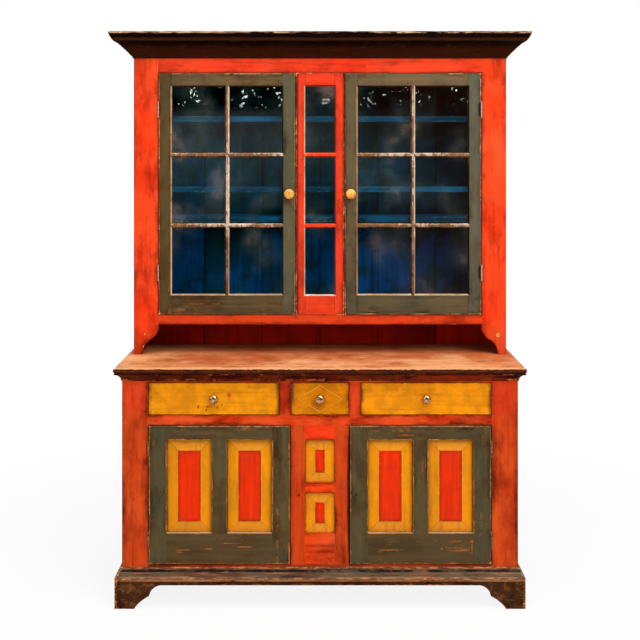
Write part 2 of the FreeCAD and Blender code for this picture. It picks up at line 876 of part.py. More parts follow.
def lower_door():
    """Right-hand door: tenoned frame with a mullion and two raised panels."""
    x = (lower_centre_width / 2 + meeting_gap, lower_stile_inner - door_gap)
    z = (lower_sill_height + door_gap, drawer_rail_bottom - door_gap)
    depth = (lower_front, lower_front + lower_door_thickness)
    stile_low = board((x[0], x[0] + lower_door_stile), depth, z)
    stile_high = board((x[1] - lower_door_stile, x[1]), depth, z)
    inner_x = (x[0] + lower_door_stile, x[1] - lower_door_stile)
    panel_z = (z[0] + lower_door_bottom_rail, z[1] - lower_door_top_rail)
    middle = (inner_x[0] + inner_x[1]) / 2
    mullion_x = (middle - lower_door_mullion / 2, middle + lower_door_mullion / 2)
    mullion = board(mullion_x, depth, panel_z)
    rails = []
    for rail_z, meeting in (((z[0], panel_z[0]), panel_z[0]), ((panel_z[1], z[1]), panel_z[1])):
        rail = board(inner_x, depth, rail_z)
        tenon_z = grown(rail_z, -panel_groove - panel_clearance)
        low_tenon = board((inner_x[0] - tenon_length, inner_x[0]), tenon_depth(lower_front), tenon_z)
        high_tenon = board((inner_x[1], inner_x[1] + tenon_length), tenon_depth(lower_front), tenon_z)
        rail, stile_low = with_tenon(rail, stile_low, low_tenon)
        rail, stile_high = with_tenon(rail, stile_high, high_tenon)
        outward = -1 if meeting == panel_z[0] else 1
        ends = sorted((meeting, meeting + outward * tenon_length))
        stub = board(grown(mullion_x, -panel_groove - panel_clearance), tenon_depth(lower_front), ends)
        mullion, rail = with_tenon(mullion, rail, stub)
        rails.append(rail)
    members = [stile_low, stile_high, mullion] + rails
    panels = []
    for opening_x in ((inner_x[0], mullion_x[0]), (mullion_x[1], inner_x[1])):
        panels.append(
            fielded_panel(
                opening_x, panel_z, lower_front,
                panel_field_recess, panel_edge_recess, panel_bevel_width,
            )
        )
        groove = panel_groove_cut(opening_x, panel_z, lower_front, panel_edge_recess)
        members = [member.cut(groove) for member in members]
    leaves = [door_leaf(lower_stile_inner, lower_front, hinge_z) for hinge_z in lower_hinges]
    members = [member.cut(leaves) for member in members]
    return members, panels, leaves


def save(name, solids):
    """One file for a named sub-part, holding one solid or a group of them."""
    shape = solids[0] if len(solids) == 1 else Part.makeCompound(solids)
    shape.exportStep("parts/" + name + ".step")


def save_pair(name, right_solids):
    """The right-hand sub-part as modelled and the left-hand one mirrored."""
    save(name.format("right"), right_solids)
    save(name.format("left"), mirrored(right_solids))


os.makedirs("parts", exist_ok=True)

# Hinges come first, because frames and doors are cut to receive them
case_leaves = both_sides(
    [case_leaf(upper_stile_inner, upper_front, z) for z in upper_hinges]
    + [case_leaf(lower_stile_inner, lower_front, z) for z in lower_hinges]
)
pins = both_sides(
    [hinge_pin(upper_stile_inner, upper_front, z) for z in upper_hinges]
    + [hinge_pin(lower_stile_inner, lower_front, z) for z in lower_hinges]
)
save("hinge_case_leaves", case_leaves)
save("hinge_pins", pins)

# Lower case
lower_stiles, lower_rails, dividers = lower_frame()
centre_members, centre_panels = lower_centre(lower_rails)
save("lower_stiles", [stile.cut(case_leaves) for stile in lower_stiles])
save("lower_rails", lower_rails)
save("drawer_dividers", dividers)
save("lower_centre_frame", centre_members)
save("lower_centre_panels", centre_panels)
lower_bottom, lower_shelf, lower_sides = lower_boards()
save("lower_bottom", [lower_bottom])
save("lower_shelf", [lower_shelf])
save("lower_sides", lower_sides)
save("lower_back", back_boards(skirt_height, lower_top))
runners, guides, kickers = drawer_carriers()
save("drawer_runners", runners)
save("drawer_guides", guides)
save("drawer_kickers", kickers)
save("worktop", [worktop()])
save("worktop_cove", worktop_cove())
save("base_moulding", base_moulding())
bracket_front, bracket_sides, foot_blocks = bracket_base()
save("bracket_front", [bracket_front])
save("bracket_sides", bracket_sides)
save("foot_blocks", foot_blocks)

# Upper case
upper_stiles, upper_rails = upper_frame()
centre_light_x = (-upper_centre_width / 2, upper_centre_width / 2)
light_frame, light_bars, light_panes = sash(
    centre_light_x, (upper_sill, upper_lintel), upper_front, centre_light_stile, 1
)
upper_bottom, upper_roof, upper_shelves, plate_rail, upper_sides = upper_boards()
save("upper_stiles", [stile.cut(case_leaves) for stile in upper_stiles])
save("upper_rails", upper_rails)
save("centre_light_frame", light_frame)
save("centre_light_bars", light_bars)
save("centre_light_glass", light_panes)
save("upper_bottom", [upper_bottom])
save("upper_top", [upper_roof])
save("upper_shelves", upper_shelves)
save("plate_rail", [plate_rail])
save("upper_sides", upper_sides)
save("upper_back", back_boards(worktop_top, upper_top))
save("cornice", cornice())

# Doors
sash_frame, sash_bars, sash_panes, sash_leaves, door_knob, door_catch = upper_door()
save_pair("upper_door_{}_frame", sash_frame)
save_pair("upper_door_{}_bars", sash_bars)
save_pair("upper_door_{}_glass", sash_panes)
save_pair("upper_door_{}_hinge_leaves", sash_leaves)
save_pair("upper_door_{}_knob", [door_knob])
save_pair("upper_door_{}_catch", [door_catch])
door_members, door_panels, door_leaves = lower_door()
save_pair("lower_door_{}_frame", door_members)
save_pair("lower_door_{}_panels", door_panels)
save_pair("lower_door_{}_hinge_leaves", door_leaves)

# Drawers
for place, opening in drawer_openings().items():
    front, box = drawer(opening)
    knob_x = (opening[0] + opening[1]) / 2
    knob_z = (drawer_floor + drawer_roof) / 2
    drawer_knob = knob(
        drawer_knob_radius, drawer_knob_projection, drawer_front_thickness, knob_x, knob_z, lower_front, 0
    )
    front = front.cut(drawer_knob)
    save("drawer_{}_front".format(place), [front])
    save("drawer_{}_box".format(place), box)
    save("drawer_{}_knob".format(place), [drawer_knob])
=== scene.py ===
import itertools
import json
import math

import bmesh
import bpy
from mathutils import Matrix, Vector, noise

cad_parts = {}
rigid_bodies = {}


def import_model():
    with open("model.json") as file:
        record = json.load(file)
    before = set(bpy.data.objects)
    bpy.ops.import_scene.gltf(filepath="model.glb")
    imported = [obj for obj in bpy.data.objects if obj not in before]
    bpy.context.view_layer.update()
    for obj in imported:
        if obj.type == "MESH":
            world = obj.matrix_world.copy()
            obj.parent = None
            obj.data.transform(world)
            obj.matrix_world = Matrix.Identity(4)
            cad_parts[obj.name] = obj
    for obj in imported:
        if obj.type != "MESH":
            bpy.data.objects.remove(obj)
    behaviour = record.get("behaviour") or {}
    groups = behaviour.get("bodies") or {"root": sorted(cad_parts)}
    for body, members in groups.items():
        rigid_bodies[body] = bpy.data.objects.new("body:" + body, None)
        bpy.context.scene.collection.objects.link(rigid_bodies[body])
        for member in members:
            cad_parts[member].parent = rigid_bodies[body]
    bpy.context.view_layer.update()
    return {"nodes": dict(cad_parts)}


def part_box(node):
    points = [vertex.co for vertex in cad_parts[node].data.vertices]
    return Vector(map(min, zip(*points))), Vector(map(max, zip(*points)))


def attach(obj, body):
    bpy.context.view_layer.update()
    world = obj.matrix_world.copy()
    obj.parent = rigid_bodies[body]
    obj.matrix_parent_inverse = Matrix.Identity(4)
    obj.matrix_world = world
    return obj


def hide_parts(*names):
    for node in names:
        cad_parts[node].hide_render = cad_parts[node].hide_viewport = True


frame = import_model()
for spare in [thing for thing in bpy.data.objects if thing.name in ("Cube", "Camera", "Light")]:
    bpy.data.objects.remove(spare)

# ---- Bracket feet ----------------------------------------------------------------------------
# Three sawn pine boards, mitred at the front corners and cut away into scrolled feet, nailed and
# glued to square corner blocks. They wear a near-black brown paint, kicked and chipped down to
# an older tan coat and the wood.


def ink(red, green, blue):
    """A paint colour from its 0 to 255 screen values, as the shader wants it."""
    shares = [value / 255 for value in (red, green, blue)]
    linear = [s / 12.92 if s <= 0.04045 else ((s + 0.055) / 1.055) ** 2.4 for s in shares]
    return (*linear, 1.0)


class Layer:
    """What a node of a finish gives. Layers add, subtract and multiply as numbers do."""

    def __init__(self, mix, node, pick=0):
        self.mix, self.node, self.pick = mix, node, pick

    def __getitem__(self, pick):
        return Layer(self.mix, self.node, pick)

    def __add__(self, other):
        return self.mix.sum("ADD", self, other)

    def __radd__(self, other):
        return self.mix.sum("ADD", other, self)

    def __sub__(self, other):
        return self.mix.sum("SUBTRACT", self, other)

    def __rsub__(self, other):
        return self.mix.sum("SUBTRACT", other, self)

    def __mul__(self, other):
        return self.mix.sum("MULTIPLY", self, other)

    def __truediv__(self, other):
        return self.mix.sum("DIVIDE", self, other)

    def __abs__(self):
        return self.mix.sum("ABSOLUTE", self)

    def above(self, limit):
        """1 where the layer is more than the limit, and 0 elsewhere."""
        return self.mix.sum("GREATER_THAN", self, limit)

    def below(self, limit):
        return self.mix.sum("LESS_THAN", self, limit)

    def capped(self):
        """Keeps what was last summed from going under 0 or over 1."""
        self.node.use_clamp = True
        return self

    def between(self, low, high):
        """0 below low, 1 above high, and a soft step in between."""
        feeds = {"Value": self, "From Min": low, "From Max": high}
        return self.mix.lay("MapRange", feeds, interpolation_type="SMOOTHSTEP")

    def full(self):
        """A cloud stretched to run the whole way from 0 to 1."""
        return self.between(0.36, 0.64)


class Finish:
    """A finish being mixed: one material, and short ways to lay and join its nodes."""

    def __init__(self, name, rack=bpy.data.materials):
        self.material = rack.new(name)
        self.material.use_nodes = True
        self.tree = self.material.node_tree
        self.tree.nodes.clear()
        self.place = self.lay("TexCoord", {})["Object"]

    def lay(self, kind, feeds, **settings):
        """Adds a node. Each feed is a value, or the layer to take it from."""
        node = self.tree.nodes.new("ShaderNode" + kind)
        for setting, value in settings.items():
            setattr(node, setting, value)
        for socket, feed in feeds.items():
            if isinstance(feed, Layer):
                self.tree.links.new(feed.node.outputs[feed.pick], node.inputs[socket])
            else:
                node.inputs[socket].default_value = feed
        return Layer(self, node)

    def sum(self, operation, *amounts):
        """One step of arithmetic on amounts, by the name that the shader has for it."""
        return self.lay("Math", dict(enumerate(amounts)), operation=operation)

    def vector(self, operation, *vectors):
        """One step of arithmetic on vectors."""
        return self.lay("VectorMath", dict(enumerate(vectors)), operation=operation)

    def axes(self, vector=None):
        """How far across, back and up a spot is, or the three parts of another vector."""
        parts = self.lay("SeparateXYZ", {0: vector or self.place})
        return parts[0], parts[1], parts[2]

    def cloud(self, scale, detail=4.0, roughness=0.6, place=None):
        """Soft patches that go from 0 to 1 and keep mostly between .36 and .64."""
        feeds = {
            "Vector": place or self.place, "Scale": scale, "Detail": detail, "Roughness": roughness,
        }
        return self.lay("TexNoise", feeds)

    def drawn(self, *stretch):
        """Coordinates stretched by an amount on each axis."""
        return self.vector("MULTIPLY", self.place, stretch)

    def fibre(self, grain, along, across):
        """Coordinates drawn out along the grain of the board."""
        return self.drawn(*[along if axis == grain else across for axis in "xyz"])

    def grain(self, grain, along, across, detail, roughness):
        """Streaks along the grain of the board."""
        return self.cloud(1.0, detail, roughness, self.fibre(grain, along, across))

    def distance(self, x, z, stretch):
        """How far a spot is from an upright line through x and z, on stretched axes."""
        away = self.vector("SUBTRACT", self.place, (x, 0, z))
        return self.vector("LENGTH", self.vector("MULTIPLY", away, stretch))["Value"]

    def over(self, amount, below, above, blend="MIX"):
        """The colour above laid over the one below, by an amount from 0 to 1."""
        feeds = {0: amount, 6: below, 7: above}
        return self.lay("Mix", feeds, data_type="RGBA", blend_type=blend)[2]

    def tint(self, amount, above, blend="MIX"):
        """Lays another colour over the finish as it is so far."""
        self.colour = self.over(amount, self.colour, above, blend)

    def shelter(self, reach, **settings):
        """How much of what is round a spot, within reach, is wood."""
        feeds = {"Distance": reach}
        return 1.0 - self.lay("AmbientOcclusion", feeds, only_local=True, **settings)["AO"]

    def arris(self, reach):
        """How near a sharp outer edge is: about a half on it, and 0 from reach inwards."""
        return self.shelter(reach, samples=6, inside=True)

    def nook(self, reach):
        """How deep in an inner corner a spot is."""
        return self.shelter(reach, samples=5)

    def finished(self, roughness, height, relief, gloss, metal=0.0, strength=0.6):
        """Joins the colour so far, roughness and relief (metres for a height of 1)."""
        bump = self.lay("Bump", {"Height": height, "Strength": strength, "Distance": relief})
        feeds = {
            "Base Color": self.colour, "Roughness": roughness, "Normal": bump,
            "Metallic": metal, "Specular IOR Level": gloss,
        }
        self.lay("OutputMaterial", {"Surface": self.lay("BsdfPrincipled", feeds)})
        return self.material


def worn_paint(
    name, grain, coat, aged, below, bare, wear, reach=0.008, soot=0.35, streaks=1.0, rubs=0.3,
    rim=0.0, flakes=0.0, mottle=0.0, tones=(), sides=(), marks=(), stains=(), stiles=None,
):
    """Old brushed paint: unevenly faded, streaked along the grain, grimy near the edges, darkened
    in inner corners as painted shade, and worn along the arrises, within reach of them, to the coat
    below and then to bare wood. The rim is how dark the arrises are painted, as the shade of the
    gaps beside them, flakes how much has come off the flat, and mottle how far the coat below
    shows in spots. Each tone (height, full height, amount, colour) tints the coat from one height
    to the next, and each side the same from one x to the next. Each mark (x, z, half width, half
    height) is worn through to wood, and each painted shade spot, given the same way, is darkened
    as painted shade. With stiles (middle, half), the grain runs level within half of the middle,
    and upright beyond it. Tones then keep to the rails, and sides to the stiles."""
    mix = Finish(name)
    axes = mix.axes()
    in_stile = joint = None
    if stiles:
        away = abs(axes[0] - stiles[0])
        in_stile = away.above(stiles[1])
        joint = abs(away - stiles[1]).between(0.0012, 0.0003)

    def flow(along, across):
        level = mix.fibre(grain, along, across)
        if not stiles:
            return level
        feeds = {0: in_stile, 4: level, 5: mix.fibre("z", along, across)}
        return mix.lay("Mix", feeds, data_type="VECTOR")[1]

    def spot(x, z, half_width, half_height, firm):
        """1 in the middle of a long round spot, out to a firm share of its size, and 0 outside."""
        return mix.distance(x, z, (1 / half_width, 0, 1 / half_height)).between(1.0, firm)

    brush = mix.cloud(1.0, 5, 0.65, flow(2.2, 75.0))
    band = mix.cloud(1.0, 5, 0.7, flow(4.0, 15.0))
    drift = mix.cloud(3.2, 5, 0.62)
    patch = mix.cloud(15.0, 5, 0.62).full()
    chips = mix.cloud(1.0, 6, 0.72, flow(62.0, 130.0)).full()
    arris = mix.arris(reach)

    mix.colour = mix.over(drift.between(0.36, 0.62), coat, aged)
    mix.tint(band.between(0.46, 0.66) * (0.75 * streaks), ink(208, 184, 176), "MULTIPLY")
    mix.tint(brush.between(0.46, 0.7) * (0.45 * streaks), ink(172, 150, 142), "MULTIPLY")
    mix.tint(brush.between(0.5, 0.3) * 0.12, below)
    if mottle:
        spots = mix.cloud(24.0, 7, 0.75)
        mix.tint(spots.between(0.52, 0.62) * mottle, below)
        mix.tint(spots.between(0.46, 0.36) * mottle, ink(24, 12, 6))

    for axis, tints in ((2, tones), (0, sides)):
        for start, full, amount, tint in tints:
            share = axes[axis].between(start, full) * amount
            if stiles:
                share = share * (in_stile if axis == 0 else 1.0 - in_stile)
            mix.tint(share, tint)

    # Dirt: streaks and grime near the edges. Painted shade: darkening in the inner corners (the
    # nook).
    dirt_and_corner_shade = band.between(0.46, 0.7) * patch + mix.nook(0.018) * (chips + 0.3)
    edging = mix.arris(0.02).between(0.02, 0.4) * band.between(0.34, 0.62)
    dirt_and_corner_shade = dirt_and_corner_shade + edging * (patch + 0.3)
    mix.tint((dirt_and_corner_shade * soot).capped(), ink(116, 64, 38), "MULTIPLY")
    smoke = mix.cloud(1.0, 6, 0.68, flow(5.0, 9.0)).between(0.47, 0.64)
    mix.tint((smoke * soot).capped(), ink(196, 132, 100), "MULTIPLY")
    # Painted shade: the arrises are darkened like the shade of the gaps beside them.
    if rim:
        painted_gap_shade = arris.between(0.16, 0.4) * (band.between(0.4, 0.55) + 0.4)
        mix.tint((painted_gap_shade * rim).capped(), ink(34, 13, 5))

    streak = (brush + (patch - 0.5) * 0.22).between(0.64, 0.72) * rubs
    mix.tint((streak * chips.between(0.1, 0.8)).capped(), below)

    scuff = arris.between(0.16, 0.46) * wear + (chips - 0.5) * (0.36 + flakes)
    scuff = scuff + (patch - 0.5) * 0.35 + (band.full() - 0.5) * 0.35
    for mark in marks:
        scuff = scuff + spot(*mark, 0.0) * 1.1
    worn = scuff.between(0.5, 0.6)
    deep = scuff.between(0.78, 0.9)
    mix.tint(worn, below)
    mix.tint(deep, bare)
    # Painted shade: each spot is a dark patch where shade falls, beside a hinge barrel or along a
    # door gap.
    for stain in stains:
        mix.tint(spot(*stain, 0.6) * 0.85, ink(24, 12, 4))
    if joint:
        mix.tint(joint * 0.6, ink(30, 16, 8))

    speck = mix.cloud(210.0, 2, 0.5).between(0.7, 0.74)
    mix.tint(speck * 0.6, ink(30, 14, 8))

    rough = 0.5 + (worn + brush) * 0.16
    height = brush * 0.55 - worn * 0.35 - deep * 0.3
    return mix.finished(rough, height, 0.0007, 0.05)


def board_by_board(mix, start, width):
    """Gives each upright board of a row its own grain. Returns the gaps and a tone per board."""
    along_row = (mix.axes()[0] - start) / width
    number = mix.sum("FLOOR", along_row)
    off_middle = abs(along_row - number - 0.5)
    jump = mix.lay("CombineXYZ", {1: number * 1.7, 2: number * 2.3})
    mix.place = mix.vector("ADD", mix.place, jump)
    tone = mix.sum("SINE", number * 2.6) * 0.5 + 0.5
    return off_middle.between(0.5 - 0.0016 / width, 0.5 - 0.0006 / width), tone


def old_pine(name, grain, pale, brown, stain=0.5, boards=None):
    """Unpainted softwood gone brown: growth rings drawn out along the grain, darker patches,
    painted shade in inner corners, and a few knots.
    """
    mix = Finish(name)
    if boards:
        gaps, tone = board_by_board(mix, *boards)
    growth = mix.grain(grain, 0.9, 8.0, 2, 0.5) * 80.0
    rings = mix.sum("SINE", growth) * 0.5 + 0.5
    pores = mix.grain(grain, 6.0, 260.0, 4, 0.6)
    drift = mix.cloud(2.6, 5, 0.65)
    mix.colour = mix.over(rings * 0.6, pale, brown)
    mix.tint(pores.between(0.52, 0.7) * 0.35, ink(60, 36, 20))
    # Darker in patches with age, and in the inner corners as painted shade. Stain sets how much of
    # both.
    dark = drift.between(0.45, 0.72) + mix.nook(0.03)
    mix.tint((dark * stain).capped(), ink(48, 28, 15))
    knot = mix.cloud(7.0, 1, 0.4).between(0.76, 0.8)
    mix.tint(knot * 0.7, ink(52, 26, 12))
    height = rings * 0.4 + pores * 0.5
    if boards:
        mix.tint(tone * 0.3, ink(176, 124, 78))
        mix.tint(gaps, ink(16, 10, 6))
        height = height - gaps
    return mix.finished(0.62 + pores * 0.2, height, 0.0005, 0.15)


def carry(node, *materials):
    """Gives a sub-part that keeps its own shape its finish."""
    slots = frame["nodes"][node].data.materials
    slots.clear()
    for material in materials:
        slots.append(material)


for node, name, grain in (
    ("bracket_front", "kicked_brown_level", "x"), ("bracket_sides", "kicked_brown_side", "y"),
):
    kicked_brown = worn_paint(
        name, grain, ink(56, 28, 11), ink(76, 44, 21), ink(132, 80, 36), ink(206, 124, 66),
        wear=0.6, soot=0.6, rubs=0.8, flakes=0.3, mottle=0.6,
        tones=((0.0968, 0.0985, 0.75, ink(184, 126, 86)),),
    )
    carry(node, kicked_brown)
raw_upright = old_pine("raw_pine_upright", "z", ink(146, 104, 66), ink(104, 68, 40))
carry("foot_blocks", raw_upright)

# ---- Base moulding ---------------------------------------------------------------------------
# A bead over a long ogee, planed on one strip of pine and mitred round the case above the feet.
# The bead and the lower lip are rubbed to a pale tan, and the quirk between is painted near-black
# as shade.
BEAD_FOOT = 0.133
LIP_TOP = 0.110


def along_moulding(mix, run, fine):
    """Streaks of two sizes along a moulding, and the height of a spot, wavering with the finer."""
    streaks = mix.cloud(1.0, 6, 0.7, mix.drawn(*run))
    hairs = mix.cloud(1.0, 6, 0.72, mix.drawn(*fine))
    return streaks, hairs, mix.axes()[2] + (hairs - 0.5) * 0.006


def line_at(shape, height, outer, inner):
    """A line along a moulding at a height: 1 within inner of it, and 0 beyond outer."""
    return abs(shape - height).between(outer, inner)


def moulding_paint(name):
    """Dark paint, streaked along the moulding and worn pale by height on its profile, with painted
    shade in the quirk.
    """
    mix = Finish(name)
    run, fine, shape = along_moulding(mix, (7, 7, 110), (34, 34, 240))
    drift = mix.cloud(3.4, 5, 0.65)
    patch = mix.cloud(19.0, 5, 0.65).full()
    mix.colour = mix.over(drift.between(0.42, 0.58), ink(88, 56, 38), ink(92, 80, 60))
    mix.tint(run.between(0.52, 0.64) * 0.75, ink(156, 104, 74))
    mix.tint(run.between(0.46, 0.34) * 0.85, ink(40, 22, 12))
    red = fine.between(0.53, 0.62) * drift.between(0.46, 0.62)
    mix.tint(red * 0.7, ink(160, 52, 20))

    bead = mix.axes()[2].between(BEAD_FOOT + 0.0006, BEAD_FOOT + 0.0020)
    tan = mix.over(fine.between(0.42, 0.6), ink(94, 48, 25), ink(164, 106, 68))
    mix.tint(bead * (run.between(0.36, 0.5) + 0.25).capped(), tan)
    # Painted shade: the quirk under the bead is darkened nearly to black.
    quirk_shade = line_at(shape, BEAD_FOOT - 0.0030, 0.0044, 0.0028)
    mix.tint(quirk_shade * (patch + 0.3).capped(), ink(26, 12, 6))
    lip = line_at(shape, LIP_TOP + 0.0002, 0.0024, 0.0008)
    pale = mix.over(fine.between(0.46, 0.58), ink(146, 100, 68), ink(176, 130, 96))
    mix.tint(lip * run.between(0.42, 0.58), pale)
    under = shape.between(LIP_TOP - 0.0010, LIP_TOP - 0.0024)
    orange = mix.over(fine.between(0.47, 0.58) * patch, ink(92, 58, 34), ink(160, 104, 64))
    mix.tint(under, orange)
    end_grain = mix.arris(0.006).between(0.2, 0.42)
    mix.tint(end_grain * fine.between(0.48, 0.6), ink(218, 160, 108))
    relief = run * 0.7 - quirk_shade * 0.4
    return mix.finished(0.46 + fine * 0.24, relief, 0.0008, 0.08)


carry("base_moulding", moulding_paint("base_moulding_paint"))

# ---- Lower case ------------------------------------------------------------------------------
# Stiles, rails, drawer dividers and the panelled strip between the doors are pegged into one flat
# front, and the wide side boards are glued behind its outer stiles. All of it is painted
# vermilion outside, darkened by hands and soot, with painted shade along the arrises, in the
# corners and in the gap by the right-hand door, and left raw inside.
HALF_WIDTH = 0.710
LOWER_FACE = -0.2375
FRAME_THICK = 0.022
BACK = 0.2665
BACK_BOARD_FACE = 0.2525
SKIRT = 0.084
LOWER_SILL = 0.150
DOOR_HEAD = 0.649
DRAWER_FLOOR = 0.686
DRAWER_ROOF = 0.803
LOWER_TOP = 0.837
LOWER_STILE = 0.616
SIDE_INSIDE = 0.688
REBATE_INSIDE = 0.698
DRAWER_HALF = 0.104
DIVIDER_OUTER = 0.146
STRIP_OUTER = 0.1055
STRIP_INNER = 0.0525
STRIP_PANELS = ((0.260, 0.406), (0.442, 0.595))
EASED = 0.0011
SHARP = math.radians(35)
TOUCH = 0.001


def made(name, skin, materials):
    """Turns a finished bmesh into a piece with its materials."""
    mesh = bpy.data.meshes.new(name)
    skin.to_mesh(mesh)
    skin.free()
    for material in materials:
        mesh.materials.append(material)
    piece = bpy.data.objects.new(name, mesh)
    bpy.context.scene.collection.objects.link(piece)
    return piece


def joined_boards(name, boards, materials):
    """One skin round boards glued flush. A board is its x, y and z from low to high, and the
    number of its finish. What touches inside is left out, as glue hides it."""
    cuts = [sorted({round(end, 5) for board in boards for end in board[axis]}) for axis in range(3)]
    owner = {}
    for *box, finish in boards:
        ends = [[cuts[axis].index(round(end, 5)) for end in box[axis]] for axis in range(3)]
        for cell in itertools.product(*[range(low, high) for low, high in ends]):
            owner[cell] = finish
    skin = bmesh.new()
    corners = {}

    def corner(key):
        if key not in corners:
            corners[key] = skin.verts.new([cuts[axis][key[axis]] for axis in range(3)])
        return corners[key]

    for cell, finish in owner.items():
        for axis in range(3):
            for ahead in (0, 1):
                beyond = list(cell)
                beyond[axis] += 2 * ahead - 1
                if tuple(beyond) in owner:
                    continue
                first, second = (axis + 1) % 3, (axis + 2) % 3
                ring = []
                for a, b in ((0, 0), (1, 0), (1, 1), (0, 1)):
                    key = list(cell)
                    key[axis] += ahead
                    key[first] += a
                    key[second] += b
                    ring.append(corner(tuple(key)))
                face = skin.faces.new(ring if ahead else ring[::-1])
                face.material_index = finish
    bmesh.ops.dissolve_limit(
        skin, angle_limit=0.01, verts=skin.verts, edges=skin.edges, delimit={"MATERIAL"}
    )
    return made(name, skin, materials)


def eased(piece, width=EASED):
    """Takes the sharpness off the arrises, as sanding and handling do."""
    piece.data.shade_smooth()
    bevel = piece.modifiers.new("eased_arrises", "BEVEL")
    bevel.width = width
    bevel.segments = 2
    bevel.limit_method = "ANGLE"
    bevel.angle_limit = SHARP
    bevel.harden_normals = True
    return piece


def leftward(span):
    """The same span on the left-hand side."""
    return (-span[1], -span[0])


def both_sides(boards):
    """Each board, followed by its fellow on the left-hand side."""
    return [board for x, *rest in boards for board in ((x, *rest), (leftward(x), *rest))]


UPRIGHT, LEVEL, INSIDE, STRIP_HEAD = range(4)
lower_depth = (LOWER_FACE, LOWER_FACE + FRAME_THICK)
side_depth = (LOWER_FACE + FRAME_THICK, BACK_BOARD_FACE)
rebate_depth = (BACK_BOARD_FACE, BACK)
between_stiles = (-LOWER_STILE, LOWER_STILE)
strip = (-STRIP_INNER, STRIP_INNER)
lower_boards = [
    (between_stiles, lower_depth, (SKIRT, LOWER_SILL), LEVEL),
    (between_stiles, lower_depth, (DOOR_HEAD, DRAWER_FLOOR), LEVEL),
    (between_stiles, lower_depth, (DRAWER_ROOF, LOWER_TOP), LEVEL),
    (strip, lower_depth, (LOWER_SILL, STRIP_PANELS[0][0]), LEVEL),
    (strip, lower_depth, (STRIP_PANELS[0][1], STRIP_PANELS[1][0]), LEVEL),
    (strip, lower_depth, (STRIP_PANELS[1][1], DOOR_HEAD), STRIP_HEAD),
]
lower_boards += both_sides([
    ((LOWER_STILE, HALF_WIDTH), lower_depth, (SKIRT, LOWER_TOP), UPRIGHT),
    ((DRAWER_HALF, DIVIDER_OUTER), lower_depth, (DRAWER_FLOOR, DRAWER_ROOF), UPRIGHT),
    ((STRIP_INNER, STRIP_OUTER), lower_depth, (LOWER_SILL, DOOR_HEAD), UPRIGHT),
    ((SIDE_INSIDE, HALF_WIDTH), side_depth, (SKIRT, LOWER_TOP), UPRIGHT),
    ((REBATE_INSIDE, HALF_WIDTH), rebate_depth, (SKIRT, LOWER_TOP), UPRIGHT),
])

lower_red_upright = worn_paint(
    "lower_vermilion_upright", "z",
    ink(200, 63, 16), ink(214, 80, 28), ink(140, 58, 22), ink(206, 144, 90),
    wear=0.4, soot=0.6, rubs=0.5, rim=0.7, tones=((0.66, 0.72, 0.5, ink(226, 56, 26)),),
    # Painted shade: a dark stripe on the strip's right-hand stile, in the gap by the right-hand
    # door.
    stains=((0.1046, 0.4, 0.0085, 0.30),),
)
lower_red_level = worn_paint(
    "lower_vermilion_level", "x",
    ink(240, 68, 12), ink(228, 84, 34), ink(142, 60, 24), ink(214, 150, 96),
    wear=0.45, soot=0.6, rubs=0.5, rim=0.7, tones=((0.156, 0.149, 0.55, ink(76, 36, 16)),),
)
strip_head_red = worn_paint(
    "strip_head_vermilion", "x",
    ink(255, 62, 18), ink(246, 66, 24), ink(142, 60, 24), ink(214, 150, 96),
    wear=0.45, soot=0.35, streaks=0.6, rubs=0.5, rim=0.7,
)


def inside_faces(piece, front):
    """Gives the faces that look into the case behind its front, or backwards, the inside finish."""
    for face in piece.data.polygons:
        inward = math.copysign(1, face.center.x) * face.normal.x < -0.01
        looks_in = abs(face.center.x) < SIDE_INSIDE + TOUCH and inward
        if face.center.y > front + FRAME_THICK - TOUCH and (looks_in or face.normal.y > 0.9):
            face.material_index = INSIDE


lower_case = joined_boards(
    "lower_case_boards", lower_boards,
    [lower_red_upright, lower_red_level, raw_upright, strip_head_red],
)
inside_faces(lower_case, LOWER_FACE)
eased(lower_case)
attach(lower_case, "case")
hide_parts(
    "lower_stiles", "lower_rails", "drawer_dividers", "lower_centre_frame",
    "lower_sides",
)

# ---- Raised panels ---------------------------------------------------------------------------
# Thin pine panels float in grooves: four tall ones in the doors and two small ones in the strip
# between them. Their bevels are painted ochre, with the mitre lines showing at the corners, and
# their flat fields vermilion, with a worn line round each field, and painted shade that darkens
# each field towards its edges and draws a thin dark line inside its rim.
PANEL_LAP = 0.007
PANEL_EDGE_THICK = 0.005
FIELD_STEP = 0.001
DOOR_BEVEL = 0.040
STRIP_BEVEL = 0.0355
STRIP_PANEL_EDGE = 0.012
STRIP_FIELD = 0.007


def rectangle(x, z, y, grow=0.0):
    """Four corners of an upright rectangle, as seen from the front."""
    low, high = (x[0] - grow, z[0] - grow), (x[1] + grow, z[1] + grow)
    return [(low[0], y, low[1]), (high[0], y, low[1]), (high[0], y, high[1]), (low[0], y, high[1])]


def lofted(skin, rings, slots, closed=False):
    """Faces from ring to ring, each with its finish, and a cap on both ends unless closed."""
    loops = [[skin.verts.new(point) for point in ring] for ring in rings]
    pairs = list(zip(loops, loops[1:]))
    if closed:
        pairs.append((loops[-1], loops[0]))
    for (near, far), slot in zip(pairs, slots):
        for one, other in zip(range(len(near)), [*range(1, len(near)), 0]):
            skin.faces.new((near[one], near[other], far[other], far[one])).material_index = slot
    if not closed:
        skin.faces.new(loops[0][::-1]).material_index = slots[0]
        skin.faces.new(loops[-1]).material_index = slots[-1]
    bmesh.ops.recalc_face_normals(skin, faces=skin.faces)


def panel_inset(mix, half):
    """How far a spot of a panel is inside the edges of its rectangle, across and up."""
    from_middle = mix.lay("Attribute", {}, attribute_name="from_middle")["Vector"]
    size = mix.lay("Attribute", {}, attribute_name=half)["Vector"]
    return mix.axes(mix.vector("SUBTRACT", size, mix.vector("ABSOLUTE", from_middle)))[:2]


